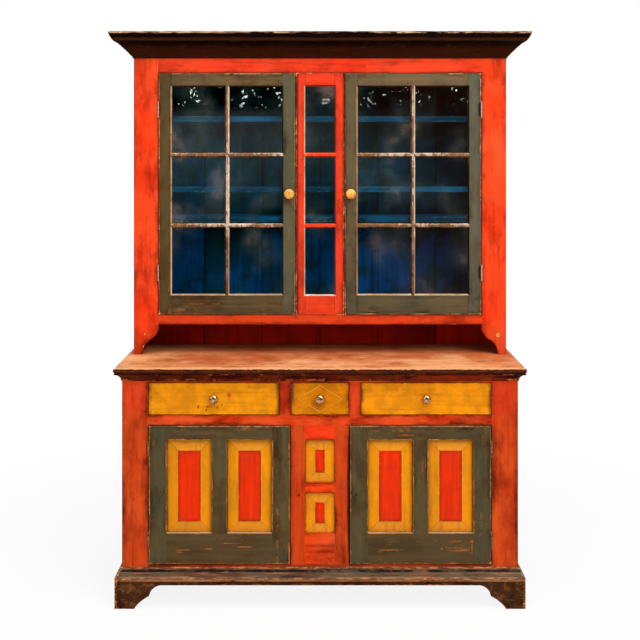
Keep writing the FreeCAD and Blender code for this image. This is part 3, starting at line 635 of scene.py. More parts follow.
def bevel_paint(name):
    """Ochre paint on a bevel. A hairline follows the mitres, where the four slopes meet."""
    mix = Finish(name)
    inset_x, inset_z = panel_inset(mix, "half_size")
    brush = mix.grain("z", 8.0, 60.0, 5, 0.65)
    drift = mix.cloud(9.0, 5, 0.65)
    chips = mix.cloud(110.0, 5, 0.7)
    mitre = abs(inset_x - inset_z).between(0.0016, 0.0004)
    top_tint = (inset_x - inset_z).between(0.0, 0.001)
    mix.colour = mix.over(drift.between(0.36, 0.66), ink(238, 146, 10), ink(218, 134, 16))
    mix.tint(top_tint * 0.45, ink(230, 150, 52))
    mix.tint(brush.between(0.5, 0.72) * 0.4, ink(150, 92, 30))
    mix.tint(mitre * 0.55, ink(120, 66, 14))
    edge = mix.sum("MAXIMUM", inset_x.between(0.005, 0.0), inset_z.between(0.005, 0.0))
    mix.tint(edge * chips.between(0.35, 0.6), ink(112, 70, 26))
    worn = (mix.arris(0.003) * 1.3 + chips).between(0.72, 0.84)
    mix.tint(worn, ink(214, 150, 92))
    height = brush * 0.5 - (worn + mitre)
    return mix.finished(0.56, height, 0.0006, 0.06)


panel_ochre = bevel_paint("panel_ochre")


def field_paint(name):
    """Brushed vermilion on the flat field of a panel, darkened brown towards its edges and in a
    thin line round them as painted shade.
    """
    mix = Finish(name)
    inset = mix.sum("MINIMUM", *panel_inset(mix, "field_half"))
    brush = mix.grain("z", 4.0, 70.0, 5, 0.65)
    drift = mix.cloud(7.0, 5, 0.65)
    patch = mix.cloud(26.0, 5, 0.65).full()
    chips = mix.cloud(110.0, 5, 0.7)
    mix.colour = mix.over(drift.between(0.38, 0.62), ink(232, 46, 2), ink(212, 48, 12))
    mix.tint(brush.between(0.48, 0.7) * 0.45, ink(176, 36, 10))
    mix.tint(brush.between(0.46, 0.32) * 0.3, ink(252, 84, 40))
    # Painted shade: the field darkens towards its edges.
    painted_shade = inset.between(0.014, 0.0) * (patch + 0.3).capped()
    mix.tint(painted_shade * 0.55, ink(142, 30, 8))
    # Painted shade: a thin dark line just inside the field's edge.
    outline = inset.between(0.0030, 0.0008) * drift.between(0.4, 0.5)
    mix.tint(outline * 0.7, ink(96, 26, 8))
    worn = inset.between(0.0026, 0.0) * chips.between(0.56, 0.62)
    mix.tint(worn, ink(232, 160, 96))
    height = brush * 0.5 - worn
    return mix.finished(0.5 + brush * 0.16, height, 0.0006, 0.05)


panel_red = field_paint("panel_vermilion")


def raised_panel(name, x, z, edge, field, bevel, body):
    """A panel from its tongue in the groove, up the bevel, over a small step, to its field. Edge
    and field are how far these lie behind the face of the frame."""
    skin = bmesh.new()
    edge_y, field_y = LOWER_FACE + edge, LOWER_FACE + field
    rings = [
        rectangle(x, z, edge_y + PANEL_EDGE_THICK, PANEL_LAP),
        rectangle(x, z, edge_y, PANEL_LAP),
        rectangle(x, z, edge_y),
        rectangle(x, z, field_y + FIELD_STEP, -bevel),
        rectangle(x, z, field_y, -bevel),
    ]
    lofted(skin, rings, (0, 0, 0, 1))
    panel = made(name, skin, [panel_ochre, panel_red])
    places = [vertex.co.copy() for vertex in panel.data.vertices]
    half_size = ((x[1] - x[0]) / 2, (z[1] - z[0]) / 2, 0.0)
    measures = {
        "from_middle": [(place.x - sum(x) / 2, place.z - sum(z) / 2, 0.0) for place in places],
        "half_size": [half_size] * len(places),
        "field_half": [(half_size[0] - bevel, half_size[1] - bevel, 0.0)] * len(places),
    }
    for measure, values in measures.items():
        kept = panel.data.attributes.new(measure, "FLOAT_VECTOR", "POINT")
        for number, value in enumerate(values):
            kept.data[number].vector = value
    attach(panel, body)
    return panel


strip_panels = [
    raised_panel(
        "strip_panel_" + place, strip, z, STRIP_PANEL_EDGE, STRIP_FIELD, STRIP_BEVEL, "case"
    )
    for place, z in zip(("low", "high"), STRIP_PANELS)
]
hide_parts("lower_centre_panels")

# ---- Lower doors -----------------------------------------------------------------------------
# Each door is a tenoned frame of two stiles, two rails and a mullion round two raised panels.
# Dark olive paint, rubbed through to an older orange in streaks along the bottom rail. The ledges
# under the panels face up and are painted pale, as light from above falls on them and as wear has
# bared the wood.
DOOR_INNER = 0.108
DOOR_OUTER = 0.614
DOOR_SPAN = (0.152, 0.647)
DOOR_THICK = 0.028
DOOR_STILE = 0.064
MULLION = 0.056
DOOR_PANEL = (0.262, 0.596)
DOOR_PANEL_EDGE = 0.017
DOOR_FIELD = 0.008
DOOR_EASED = 0.0014

FOOT_RAIL_SCRATCHES = (
    (-0.398, 0.206, 0.036, 0.0026), (-0.272, 0.213, 0.060, 0.0022), (-0.491, 0.202, 0.050, 0.0020),
    (0.255, 0.202, 0.084, 0.0020), (0.437, 0.206, 0.006, 0.0150), (0.452, 0.212, 0.005, 0.0120),
    (0.520, 0.202, 0.030, 0.0028), (0.545, 0.210, 0.002, 0.0450), (-0.330, 0.226, 0.060, 0.0020),
)
lower_green_upright = worn_paint(
    "door_olive_upright", "z",
    ink(88, 76, 46), ink(76, 70, 48), ink(176, 98, 42), ink(226, 178, 124),
    wear=0.8, soot=0.5, streaks=0.45, rubs=0.5, flakes=0.08,
)
lower_green_level = worn_paint(
    "door_olive_level", "x", ink(90, 74, 44), ink(80, 68, 44), ink(176, 98, 42), ink(226, 178, 124),
    wear=0.85, soot=0.5, streaks=0.45, rubs=0.7, flakes=0.08,
)
lower_green_foot = worn_paint(
    "door_olive_foot", "x", ink(88, 70, 40), ink(80, 67, 42), ink(160, 82, 34), ink(196, 116, 56),
    wear=0.9, soot=0.25, streaks=0.4, rubs=1.6, flakes=0.1, marks=FOOT_RAIL_SCRATCHES,
)
# Painted light with wear: the ledges face up, and are painted pale as lit from above and worn.
ledge_lit_and_worn = worn_paint(
    "panel_ledge", "x",
    ink(206, 172, 130), ink(180, 146, 106), ink(226, 196, 158), ink(232, 206, 170),
    wear=0.5, reach=0.006, soot=0.2, rubs=0.6,
)
door_paints = [lower_green_upright, lower_green_level, ledge_lit_and_worn, lower_green_foot]
STILE_PAINT, HEAD_PAINT, LEDGE_LIT_AND_WORN, FOOT_PAINT = range(4)
door_depth = (LOWER_FACE, LOWER_FACE + DOOR_THICK)
door_inner = (DOOR_INNER + DOOR_STILE, DOOR_OUTER - DOOR_STILE)
door_middle = sum(door_inner) / 2
mullion = (door_middle - MULLION / 2, door_middle + MULLION / 2)
right_door = [
    ((DOOR_INNER, door_inner[0]), door_depth, DOOR_SPAN, STILE_PAINT),
    ((door_inner[1], DOOR_OUTER), door_depth, DOOR_SPAN, STILE_PAINT),
    (mullion, door_depth, DOOR_PANEL, STILE_PAINT),
    (door_inner, door_depth, (DOOR_SPAN[0], DOOR_PANEL[0]), FOOT_PAINT),
    (door_inner, door_depth, (DOOR_PANEL[1], DOOR_SPAN[1]), HEAD_PAINT),
]
panel_spans = {"inner": (door_inner[0], mullion[0]), "outer": (mullion[1], door_inner[1])}
for hand, across in (("left", leftward), ("right", tuple)):
    body = "lower_door_" + hand
    boards = [(across(x), *rest) for x, *rest in right_door]
    door = joined_boards(body + "_woodwork", boards, door_paints)
    for face in door.data.polygons:
        if face.normal.z > 0.9 and abs(face.center.z - DOOR_PANEL[0]) < TOUCH:
            face.material_index = LEDGE_LIT_AND_WORN
    eased(door, DOOR_EASED)
    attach(door, "lower_door_" + hand)
    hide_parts("lower_door_" + hand + "_frame")
    door_panels = [
        raised_panel(
            body + "_panel_" + place, across(x), DOOR_PANEL, DOOR_PANEL_EDGE, DOOR_FIELD,
            DOOR_BEVEL, body,
        )
        for place, x in panel_spans.items()
    ]
    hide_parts("lower_door_" + hand + "_panels")

# ---- Hinges ----------------------------------------------------------------------------------
# Small cast butt hinges, eight in all, let into the stiles and the door edges. Their barrels stand
# in the gaps, dark with rust and with some of the case's red brushed over them, and with painted
# highlights along their edges. Those of the upper doors are painted bright in front, as a
# highlight on iron that hands have worn.


def old_iron(name, lit_and_rubbed=False):
    """Black iron with rust and daubs of red, with painted highlights along its edges. On the upper
    case, lit and worn iron gets a painted highlight on the faces that look forward.
    """
    mix = Finish(name)
    rust = mix.cloud(160.0, 5, 0.7)
    daub = mix.cloud(45.0, 3, 0.5)
    mix.colour = mix.over(rust.between(0.45, 0.62), ink(30, 21, 16), ink(84, 44, 22))
    mix.tint(daub.between(0.55, 0.62) * 0.8, ink(140, 44, 18))
    # Painted highlight with rust: the edges are made pale tan.
    painted_light_and_wear = mix.arris(0.003).between(0.2, 0.42) * rust.between(0.4, 0.55)
    mix.tint(painted_light_and_wear, ink(196, 128, 92))
    if lit_and_rubbed:
        # Painted highlight: faces that look forward, above the worktop, are made bright.
        above_worktop = mix.axes()[2].above(0.9)
        forward = mix.axes(mix.lay("NewGeometry", {})["Normal"])[1]
        painted_front_highlight = above_worktop * forward.between(-0.80, -0.97) * rust.between(0.3, 0.45)
        mix.tint(painted_front_highlight, ink(206, 164, 146))
    return mix.finished(0.42 + rust * 0.4, rust, 0.0004, 0.5, metal=0.6, strength=0.5)


hinge_iron = old_iron("hinge_iron", lit_and_rubbed=True)
for node in ("hinge_case_leaves", "hinge_pins"):
    carry(node, hinge_iron)
for hand in ("left", "right"):
    for level in ("upper", "lower"):
        carry(level + "_door_" + hand + "_hinge_leaves", hinge_iron)

# ---- Floors, shelf and back of the lower case ------------------------------------------------
# Unpainted pine boards, rough from the saw: a bottom and a shelf housed in the sides, and six
# upright back boards nailed into a rebate.
BACK_BOARDS = (-REBATE_INSIDE, REBATE_INSIDE / 3)
raw_level = old_pine("raw_pine_level", "x", ink(146, 102, 64), ink(104, 68, 40))
back_pine = old_pine(
    "back_board_pine", "z", ink(146, 104, 66), ink(104, 68, 40), boards=BACK_BOARDS
)
for node in ("lower_bottom", "lower_shelf"):
    carry(node, raw_level)
carry("lower_back", back_pine)

# ---- Drawers ---------------------------------------------------------------------------------
# Three flush drawers with ochre fronts, dovetailed to raw pine sides and running on bare pine
# runners. The middle one has a lozenge scribed round its knob. All have dark edges, painted as the
# shade of the gaps round them.
LOZENGE_HALF_WIDTH = 0.079
LOZENGE_HALF_HEIGHT = 0.048
DRAWER_MIDDLE = (DRAWER_FLOOR + DRAWER_ROOF) / 2
CENTRE_DRAWER = (-0.1025, 0.1025)
SIDE_DRAWER = (0.1475, 0.6145)
NAIL_HOLE = ink(40, 20, 6)


def drawer_paint(name, coat, aged, span, lozenge=False, spots=()):
    """Ochre paint along a drawer front, streaked with grime, and darkened at the edges and most at
    the ends of its span as painted shade of the gaps round it. A spot is its x, z, radius and
    stain."""
    mix = Finish(name)
    brush = mix.grain("x", 3.0, 80.0, 5, 0.65)
    drift = mix.cloud(6.0, 5, 0.65)
    patch = mix.cloud(24.0, 5, 0.65).full()
    chips = mix.cloud(110.0, 5, 0.7).full()
    arris = mix.arris(0.0048)
    mix.colour = mix.over(drift.between(0.38, 0.62), coat, aged)
    mix.tint(brush.between(0.48, 0.7) * 0.35, ink(168, 92, 10))
    mix.tint(brush.between(0.46, 0.3) * 0.25, ink(250, 176, 52))
    band = mix.grain("x", 3.0, 24.0, 4, 0.6).between(0.46, 0.66)
    grime_and_shade = (patch * 0.4 + 0.4) * band
    # Painted shade: a broad darkening towards the edges, joined to the grime streaks.
    grime_and_shade = grime_and_shade + mix.arris(0.03).between(0.04, 0.42) * (patch + 0.2)
    mix.tint((grime_and_shade * 0.24).capped(), ink(140, 80, 10))
    from_middle = abs(mix.axes()[0] - sum(span) / 2)
    half = (span[1] - span[0]) / 2
    # Painted shade of the gap at each end of the drawer.
    end = from_middle.between(half - 0.016, half - 0.002) * (patch + 0.25)
    mix.tint((end * 0.7).capped(), ink(84, 34, 4))
    # Painted shade: a dark line along the arrises, from the gaps round the drawer. The highest
    # scores are worn to pale wood.
    edge = arris.between(0.05, 0.5) * 0.75 + chips * 0.3 + patch * 0.35
    worn = edge.between(0.62, 0.86)
    mix.tint(worn * 0.85, ink(66, 26, 4))
    mix.tint(edge.between(1.2, 1.3), ink(214, 158, 92))
    for x, z, radius, stain in spots:
        far = mix.distance(x, z, (1, 0, 0.6)) + (chips - 0.5) * (radius * 0.8)
        mix.tint(far.between(radius, radius * 0.4) * 0.8, stain)
    line = 0.0
    if lozenge:
        across, back, up = mix.axes()
        reach = abs(across) / LOZENGE_HALF_WIDTH + abs(up - DRAWER_MIDDLE) / LOZENGE_HALF_HEIGHT
        front = back.below(LOWER_FACE + TOUCH)
        line = abs(reach - 1.0).between(0.04, 0.012) * (patch + 0.25).capped() * front
        mix.tint(line * 0.6, ink(240, 180, 84))
        beside = reach - 1.05
        shade_line = beside.between(0.0, 0.012) * beside.between(0.03, 0.012)
        mix.tint(shade_line * front * 0.5, ink(96, 52, 8))
    height = brush * 0.5 - worn * 0.4 - line
    return mix.finished(0.54, height, 0.0007, 0.06)


drawer_paints = {
    "left": drawer_paint(
        "drawer_ochre_left", ink(246, 153, 8), ink(232, 140, 8), leftward(SIDE_DRAWER),
        spots=(
            (-0.326, 0.756, 0.010, ink(206, 52, 10)), (-0.437, 0.716, 0.0035, NAIL_HOLE),
            (-0.404, 0.717, 0.004, NAIL_HOLE), (-0.408, 0.704, 0.003, NAIL_HOLE),
            (-0.367, 0.715, 0.0035, NAIL_HOLE), (-0.352, 0.722, 0.003, NAIL_HOLE),
        ),
    ),
    "centre": drawer_paint(
        "drawer_ochre_scribed", ink(228, 132, 0), ink(208, 118, 0), CENTRE_DRAWER, lozenge=True
    ),
    "right": drawer_paint(
        "drawer_ochre_right", ink(248, 151, 8), ink(234, 140, 10), SIDE_DRAWER
    ),
}
raw_deep = old_pine("raw_pine_front_to_back", "y", ink(150, 106, 66), ink(108, 70, 40))
for place, ochre in drawer_paints.items():
    carry("drawer_" + place + "_front", ochre)
    carry("drawer_" + place + "_box", raw_deep)
for node in ("drawer_runners", "drawer_guides", "drawer_kickers"):
    carry(node, raw_deep)

# ---- Drawer knobs ----------------------------------------------------------------------------
# Small turned knobs of dark polished brass, each on a flared foot, with a shank that runs back
# through the drawer front.
DRAWER_KNOB_OUT = 0.024
KNOB_SHANK = 0.0045


def turned(name, outline, x, y, z, material, segments=40):
    """A piece turned about a line running front to back. The outline is (radius, depth) pairs
    from the tip to the back end, measured from the face it stands on."""
    skin = bmesh.new()
    rings = []
    for radius, depth in outline:
        ring = []
        for step in range(segments):
            angle = 2 * math.pi * step / segments
            ring.append((x + radius * math.cos(angle), y + depth, z + radius * math.sin(angle)))
        rings.append(ring)
    lofted(skin, rings, [0] * len(rings))
    for face in skin.faces:
        face.smooth = len(face.verts) == 4
    return made(name, skin, [material])


def old_brass(name):
    """Brass polished by hands, with brown tarnish left in patches."""
    mix = Finish(name)
    tarnish = mix.cloud(120.0, 5, 0.65)
    rim = mix.cloud(420.0, 3, 0.6)
    mix.colour = mix.over(tarnish.between(0.42, 0.66), ink(216, 166, 120), ink(92, 52, 26))
    mix.tint(rim.between(0.6, 0.7) * 0.4, ink(60, 32, 16))
    return mix.finished(0.1 + tarnish * 0.24, rim, 0.0002, 0.5, metal=1.0, strength=0.3)


drawer_brass = old_brass("drawer_knob_brass")
drawer_knob_outline = [
    (0.0012, -1.00), (0.0040, -0.995), (0.0076, -0.97), (0.0110, -0.92), (0.0140, -0.83),
    (0.0160, -0.72), (0.0169, -0.60), (0.0166, -0.50), (0.0150, -0.40), (0.0118, -0.31),
    (0.0088, -0.25), (0.0076, -0.20), (0.0078, -0.14), (0.0096, -0.08), (0.0104, -0.03),
    (0.0104, 0.0), (KNOB_SHANK, 0.0), (KNOB_SHANK, 0.80),
]
for place in drawer_paints:
    low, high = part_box("drawer_" + place + "_knob")
    middle = (low + high) / 2
    knob = turned(
        "drawer_" + place + "_pull",
        [(radius, share * DRAWER_KNOB_OUT) for radius, share in drawer_knob_outline],
        middle.x, LOWER_FACE, middle.z, drawer_brass,
    )
    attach(knob, "drawer_" + place)
    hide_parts("drawer_" + place + "_knob")

# ---- Worktop ---------------------------------------------------------------------------------
# One wide board over the lower case, its nose rounded by two centuries of sleeves. The red wash
# is scrubbed to pink-brown wood, palest along the nose and stained dark under the upper case.
WORKTOP_REACH = 0.739
WORKTOP_TOP = 0.857
WORKTOP_FRONT = -0.2665
WORKTOP_CUTS = 90
WORKTOP_LINES = (-0.2, -0.1, BACK - 0.004, BACK)
WORKTOP_NOSE = 0.007
NOSE = ((WORKTOP_NOSE, 0.0), (0.0024, 0.0022), (0.0, 0.0072))
NOSE_REACH = 0.05
NOSE_WANDER = 0.0016
NOSE_DIP = 0.0007
END_ROUND = 0.35
END_BACK = 0.006


def scrubbed_wood(name):
    """Bare scrubbed wood with the rest of a red wash, dark and sooty along the upper case, and
    darkened nearly black under the nose as painted shade with dirt.
    """
    mix = Finish(name)
    grain = mix.grain("x", 2.0, 42.0, 6, 0.65)
    fine = mix.grain("x", 9.0, 320.0, 4, 0.6)
    drift = mix.cloud(3.6, 6, 0.68)
    patch = mix.cloud(15.0, 5, 0.65)
    axes = mix.axes()
    mix.colour = mix.over(drift.between(0.36, 0.6), ink(248, 178, 124), ink(222, 138, 84))
    mix.tint(grain.between(0.46, 0.64) * 0.6, ink(186, 92, 46))
    back = (axes[1] + (drift - 0.5) * 0.6).between(-0.14, 0.03)
    mix.tint(back * 0.65, ink(184, 72, 26))
    left_end = (axes[0] + (drift - 0.5) * 0.5).between(-0.40, -0.72)
    mix.tint(left_end * 0.35, ink(246, 182, 112))
    right_end = (axes[0] + (drift - 0.5) * 0.5).between(0.40, 0.72)
    mix.tint(right_end * 0.4, ink(200, 108, 56))
    stain = patch.between(0.48, 0.64) * drift.between(0.4, 0.58)
    mix.tint(stain * 0.45, ink(130, 56, 24))
    mix.tint(fine.between(0.54, 0.68) * 0.35, ink(120, 62, 34))
    nose = (axes[1] + patch * 0.03).between(-0.216, -0.238)
    mix.tint(nose * 0.7, ink(240, 172, 118))
    ragged = mix.grain("x", 60.0, 160.0, 5, 0.7)
    # Painted shade with dirt: the nose below its top few millimetres, and the underside, are
    # darkened nearly to black.
    under = (axes[2] + ragged * 0.010).between(0.8602, 0.8584)
    soot = mix.grain("x", 26.0, 110.0, 6, 0.7).between(0.38, 0.62)
    grime_and_shade = mix.over(soot, ink(34, 8, 0), ink(86, 28, 2))
    mix.tint(under, grime_and_shade)
    scar = ragged.between(0.56, 0.66) * axes[2].above(0.842)
    mix.tint(scar * under * 0.3, ink(180, 90, 36))
    height = grain * 0.7 + fine * 0.4
    rough = 0.5 + grain * 0.2
    return mix.finished(rough, height, 0.0009, 0.1)


skin = bmesh.new()
outline = [(BACK, LOWER_TOP)]
outline += [(WORKTOP_FRONT + back, LOWER_TOP + up) for back, up in NOSE]
outline += [(WORKTOP_FRONT + back, WORKTOP_TOP - down) for back, down in reversed(NOSE)]
outline += [(y, WORKTOP_TOP) for y in WORKTOP_LINES]
rings = []
for cut in range(WORKTOP_CUTS + 1):
    x = WORKTOP_REACH * (2 * cut / WORKTOP_CUTS - 1)
    ring = []
    for y, z in outline:
        near_nose = max(0.0, min(1.0, (WORKTOP_FRONT + NOSE_REACH - y) / NOSE_REACH))
        wander = noise.noise((x * 9, 0.3, 0.0)) * 0.6 + noise.noise((x * 31, 1.7, 0.0)) * 0.4
        dent = noise.noise((x * 24, z * 60, 5.0))
        y += near_nose * NOSE_WANDER * (0.9 + wander)
        ring.append((x, y, z - near_nose * NOSE_DIP * (0.6 + dent)))
    rings.append(ring)
half_up = (LOWER_TOP + WORKTOP_TOP) / 2
for end, inward in ((0, 1), (-1, -1)):
    cap = [
        (x, y + (END_BACK if y < 0 else 0.0), half_up + (z - half_up) * END_ROUND)
        for x, y, z in rings[end]
    ]
    rings[end] = [(x + inward * WORKTOP_NOSE, y, z) for x, y, z in rings[end]]
    rings.insert(0 if end == 0 else len(rings), cap)
lofted(skin, rings, [0] * len(rings))
for face in skin.faces:
    face.smooth = True
worktop = made("worktop_board", skin, [scrubbed_wood("scrubbed_worktop")])
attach(worktop, "case")
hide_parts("worktop")

# ---- Hollow under the worktop ----------------------------------------------------------------
# A planed cove, mitred round the case under the overhang and painted with it. It is almost black
# with polish and smoke, darkest in a band of painted shade just under the worktop, and rubbed back
# to red where it stands out.
cove_paint = worn_paint(
    "cove_paint", "x", ink(148, 52, 10), ink(104, 38, 9), ink(184, 84, 30), ink(214, 134, 76),
    wear=0.35, reach=0.005, soot=0.9, streaks=1.3, rubs=1.0, flakes=0.1, mottle=0.3,
    # Painted shade: the top of the cove, just under the worktop's overhang, is darkened.
    tones=((0.829, 0.834, 0.75, ink(30, 9, 2)),),
)
carry("worktop_cove", cove_paint)

# ---- Upper case ------------------------------------------------------------------------------
# The same flat front, set back on the worktop: two stiles that end in sawn ogee feet, and a rail
# above and below the doors. The side boards are glued behind. Brighter vermilion than below,
# blue inside.
UPPER_FACE = 0.0195
UPPER_RAIL = 0.972
UPPER_SILL = 1.008
UPPER_HEAD = 1.932
UPPER_TOP = 2.052
UPPER_STILE = 0.617
FOOT_OUTER = HALF_WIDTH - 0.011
FOOT_HEAD = UPPER_RAIL + 0.01
FOOT_OGEE = ((0.617, 0.950), (0.651, 0.911), (0.680, 0.857))
FOOT_SWELL = -0.005
FOOT_HOLLOW = 0.008

upper_red_upright = worn_paint(
    "upper_vermilion_upright", "z",
    ink(250, 62, 18), ink(246, 82, 38), ink(158, 56, 22), ink(232, 158, 74),
    wear=0.4, soot=0.45, streaks=0.8, rubs=0.35, rim=0.6,
    # The marks on the left-hand foot are worn to wood and are also painted highlights, where light
    # catches the edge of its scroll.
    marks=(
        (-0.668, 0.936, 0.0060, 0.020), (-0.673, 0.884, 0.005, 0.012),
        (0.647, 1.889, 0.006, 0.008),
    ),
    # Painted shade: the stiles darken towards the worktop.
    tones=((1.02, 0.86, 0.6, ink(196, 66, 26)),),
)
upper_red_level = worn_paint(
    "upper_vermilion_level", "x",
    ink(250, 60, 28), ink(240, 72, 38), ink(156, 58, 24), ink(232, 162, 96),
    wear=0.4, soot=0.4, streaks=0.7, rubs=0.3, rim=0.6,
    # Painted shade: the rail under the doors is darkened.
    tones=((1.10, 1.02, 0.55, ink(196, 70, 22)),),
)


def inside_paint(name):
    """Blue inside the case, painted darker as shade towards the top, the right and the shelves,
    dark red below it on the open ledge, and bare wood behind.
    """
    mix = Finish(name)
    axes = mix.axes()
    gaps, tone = board_by_board(mix, *BACK_BOARDS)
    brush = mix.grain("z", 1.8, 60.0, 5, 0.65)
    drift = mix.cloud(3.0, 5, 0.65)
    patch = mix.cloud(12.0, 5, 0.65)
    blue = mix.over(drift.between(0.38, 0.6), ink(8, 96, 172), ink(6, 66, 96))
    # Painted shade: higher up, the blue turns darker and greener.
    aloft = axes[2] + (drift - 0.5) * 0.5
    teal = mix.over(patch.between(0.4, 0.6), ink(6, 66, 84), ink(10, 44, 48))
    blue = mix.over(aloft.between(1.22, 1.36) * 0.85, blue, teal)
    blue = mix.over(patch.between(0.48, 0.66) * 0.6, blue, ink(18, 66, 62))
    blue = mix.over(brush.between(0.5, 0.7) * 0.6, blue, ink(2, 16, 30))
    # Painted shade: darker towards the right.
    blue = mix.over(axes[0].between(0.15, 0.55) * 0.55, blue, ink(14, 34, 48))
    # Painted shade: darker towards the top of the case.
    painted_shade = axes[2] + (patch - 0.5) * 0.4
    blue = mix.over(painted_shade.between(1.62, 1.88), blue, ink(3, 8, 14))
    # Painted shade: darker near the shelves and the rail.
    shade_by_shelves = mix.lay("AmbientOcclusion", {"Distance": 0.2}, samples=6)["AO"]
    blue = mix.over(shade_by_shelves.between(0.85, 0.3), blue, ink(3, 10, 18))
    red = mix.over(drift.full(), ink(196, 36, 12), ink(130, 22, 8))
    red = mix.over(brush.between(0.5, 0.74) * 0.5, red, ink(50, 12, 6))
    face = mix.over(axes[2].below(UPPER_RAIL), blue, red)
    raw = mix.over(brush.between(0.4, 0.7), ink(150, 108, 70), ink(92, 60, 36))
    raw = mix.over(tone * 0.3, raw, ink(176, 124, 78))
    raw = mix.over(patch.between(0.5, 0.7) * 0.5, raw, ink(60, 40, 26))
    mix.colour = mix.over(axes[1].above(BACK_BOARD_FACE + 0.004), face, raw)
    mix.tint(mix.sum("MAXIMUM", mix.arris(0.003), gaps), ink(8, 10, 12))
    return mix.finished(0.7, brush, 0.0006, 0.02)


upper_inside = inside_paint("upper_inside_paint")


def bowed(start, end, bow, steps=8):
    """Points from start to end on a shallow arc, bow metres to the left of the straight line."""
    start, end = Vector(start), Vector(end)
    left = Vector((start.y - end.y, end.x - start.x)).normalized()
    points = []
    for step in range(1, steps + 1):
        share = step / steps
        points.append(start.lerp(end, share) + left * (bow * 4 * share * (1 - share)))
    return points


upper_depth = (UPPER_FACE, UPPER_FACE + FRAME_THICK)
upper_side_depth = (UPPER_FACE + FRAME_THICK, BACK_BOARD_FACE)
between_upper_stiles = (-UPPER_STILE, UPPER_STILE)
upper_side = (SIDE_INSIDE, HALF_WIDTH)
upper_boards = [
    (between_upper_stiles, upper_depth, (UPPER_RAIL, UPPER_SILL), LEVEL),
    (between_upper_stiles, upper_depth, (UPPER_HEAD, UPPER_TOP), LEVEL),
]
upper_boards += both_sides([
    ((UPPER_STILE, HALF_WIDTH), upper_depth, (UPPER_RAIL, UPPER_TOP), UPRIGHT),
    (upper_side, upper_depth, (WORKTOP_TOP, UPPER_RAIL), UPRIGHT),
    (upper_side, upper_side_depth, (WORKTOP_TOP, UPPER_TOP), UPRIGHT),
    ((REBATE_INSIDE, HALF_WIDTH), rebate_depth, (WORKTOP_TOP, UPPER_TOP), UPRIGHT),
])
upper_case = joined_boards(
    "upper_case_boards", upper_boards, [upper_red_upright, upper_red_level, upper_inside]
)
inside_faces(upper_case, UPPER_FACE)

foot = [Vector((FOOT_OUTER, FOOT_HEAD)), Vector((UPPER_STILE, FOOT_HEAD)), Vector(FOOT_OGEE[0])]
foot += bowed(FOOT_OGEE[0], FOOT_OGEE[1], FOOT_SWELL)
foot += bowed(FOOT_OGEE[1], FOOT_OGEE[2], FOOT_HOLLOW)
foot.append(Vector((FOOT_OUTER, WORKTOP_TOP)))
for sign in (-1, 1):
    skin = bmesh.new()
    lofted(skin, [[(sign * point.x, y, point.y) for point in foot] for y in upper_depth], [0])
    scroll = made("scroll_to_join", skin, [upper_red_upright])
    union = upper_case.modifiers.new("scroll", "BOOLEAN")
    union.operation = "UNION"
    union.solver = "EXACT"
    union.object = scroll
    evaluated = upper_case.evaluated_get(bpy.context.evaluated_depsgraph_get())
    joined = bpy.data.meshes.new_from_object(evaluated)
    upper_case.modifiers.clear()
    upper_case.data = joined
    bpy.data.objects.remove(scroll)
eased(upper_case)
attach(upper_case, "case")
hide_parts("upper_stiles", "upper_rails", "upper_sides")

# ---- Plug in the right-hand foot -------------------------------------------------------------
# A turned wooden plug fills an old hole near the bottom of the right-hand stile: a pale ring
# round a dark middle.
PLUG_X = 0.679
PLUG_Z = 0.931
plug_pale = old_pine("plug_pale", "y", ink(226, 168, 78), ink(196, 122, 44), stain=0.1)
plug_outline = [
    (0.0012, -0.0002), (0.0030, -0.0006), (0.0042, -0.0016), (0.0072, -0.0018),
    (0.0084, -0.0010), (0.0086, 0.004),
]
plug = turned("stile_plug", plug_outline, PLUG_X, UPPER_FACE, PLUG_Z, plug_pale, 28)
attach(plug, "case")

# ---- Boards inside the upper case ------------------------------------------------------------
# Two shelves, a plate rail and upright back boards, all painted a dark blue. Below the case,
# behind the open ledge, the back boards are dark red. Their backs and the top board are bare.


def shelf_blue(name, grain):
    """Blue paint that has gone paler on the front edge of each board."""
    return worn_paint(
        name, grain, ink(14, 92, 138), ink(6, 60, 96), ink(52, 110, 130), ink(130, 118, 100),
        wear=0.4, reach=0.009, soot=0.4, rubs=0.5,
    )


shelf_level = shelf_blue("shelf_blue_level", "x")
for node in ("upper_shelves", "plate_rail", "upper_bottom"):
    carry(node, shelf_level)
carry("upper_top", raw_level)
carry("upper_back", upper_inside)

# ---- Glazed sashes ---------------------------------------------------------------------------
# Tenoned frames with a bevel round the glass and slender coped bars: two doors in dark olive and
# a narrow fixed light between them in red. The bars and bevels are painted pale where they face
# right and up, as lit and worn to pale wood and old white putty, and dark where they face left and
# down, as shaded.
SASH_THICK = 0.022
SASH_EASED = 0.0009
SASH_BEVEL = 0.005
SASH_BEVEL_DEEP = 0.006
GLASS_SEAT = 0.012
GLASS_REBATE = 0.006
SASH_DOOR_X = (0.0945, 0.615)
SASH_DOOR_Z = (1.010, 1.930)
SASH_STILE = 0.050
SASH_TOP = 0.051
SASH_FOOT = 0.078
LIGHT_X = (-0.092, 0.092)
LIGHT_Z = (1.008, 1.932)
LIGHT_STILE = 0.036

LIGHT_RED = (ink(236, 60, 34), ink(226, 66, 32), ink(214, 104, 44), ink(240, 196, 146))
LIGHT_SHADE = (ink(196, 44, 18), ink(150, 36, 14), ink(206, 98, 44), ink(236, 180, 120))
SASH_OLIVE = {
    "left": (ink(93, 76, 45), ink(80, 71, 47), ink(176, 108, 54), ink(234, 200, 156)),
    "right": (ink(95, 83, 57), ink(80, 75, 56), ink(176, 108, 54), ink(234, 200, 156)),
}
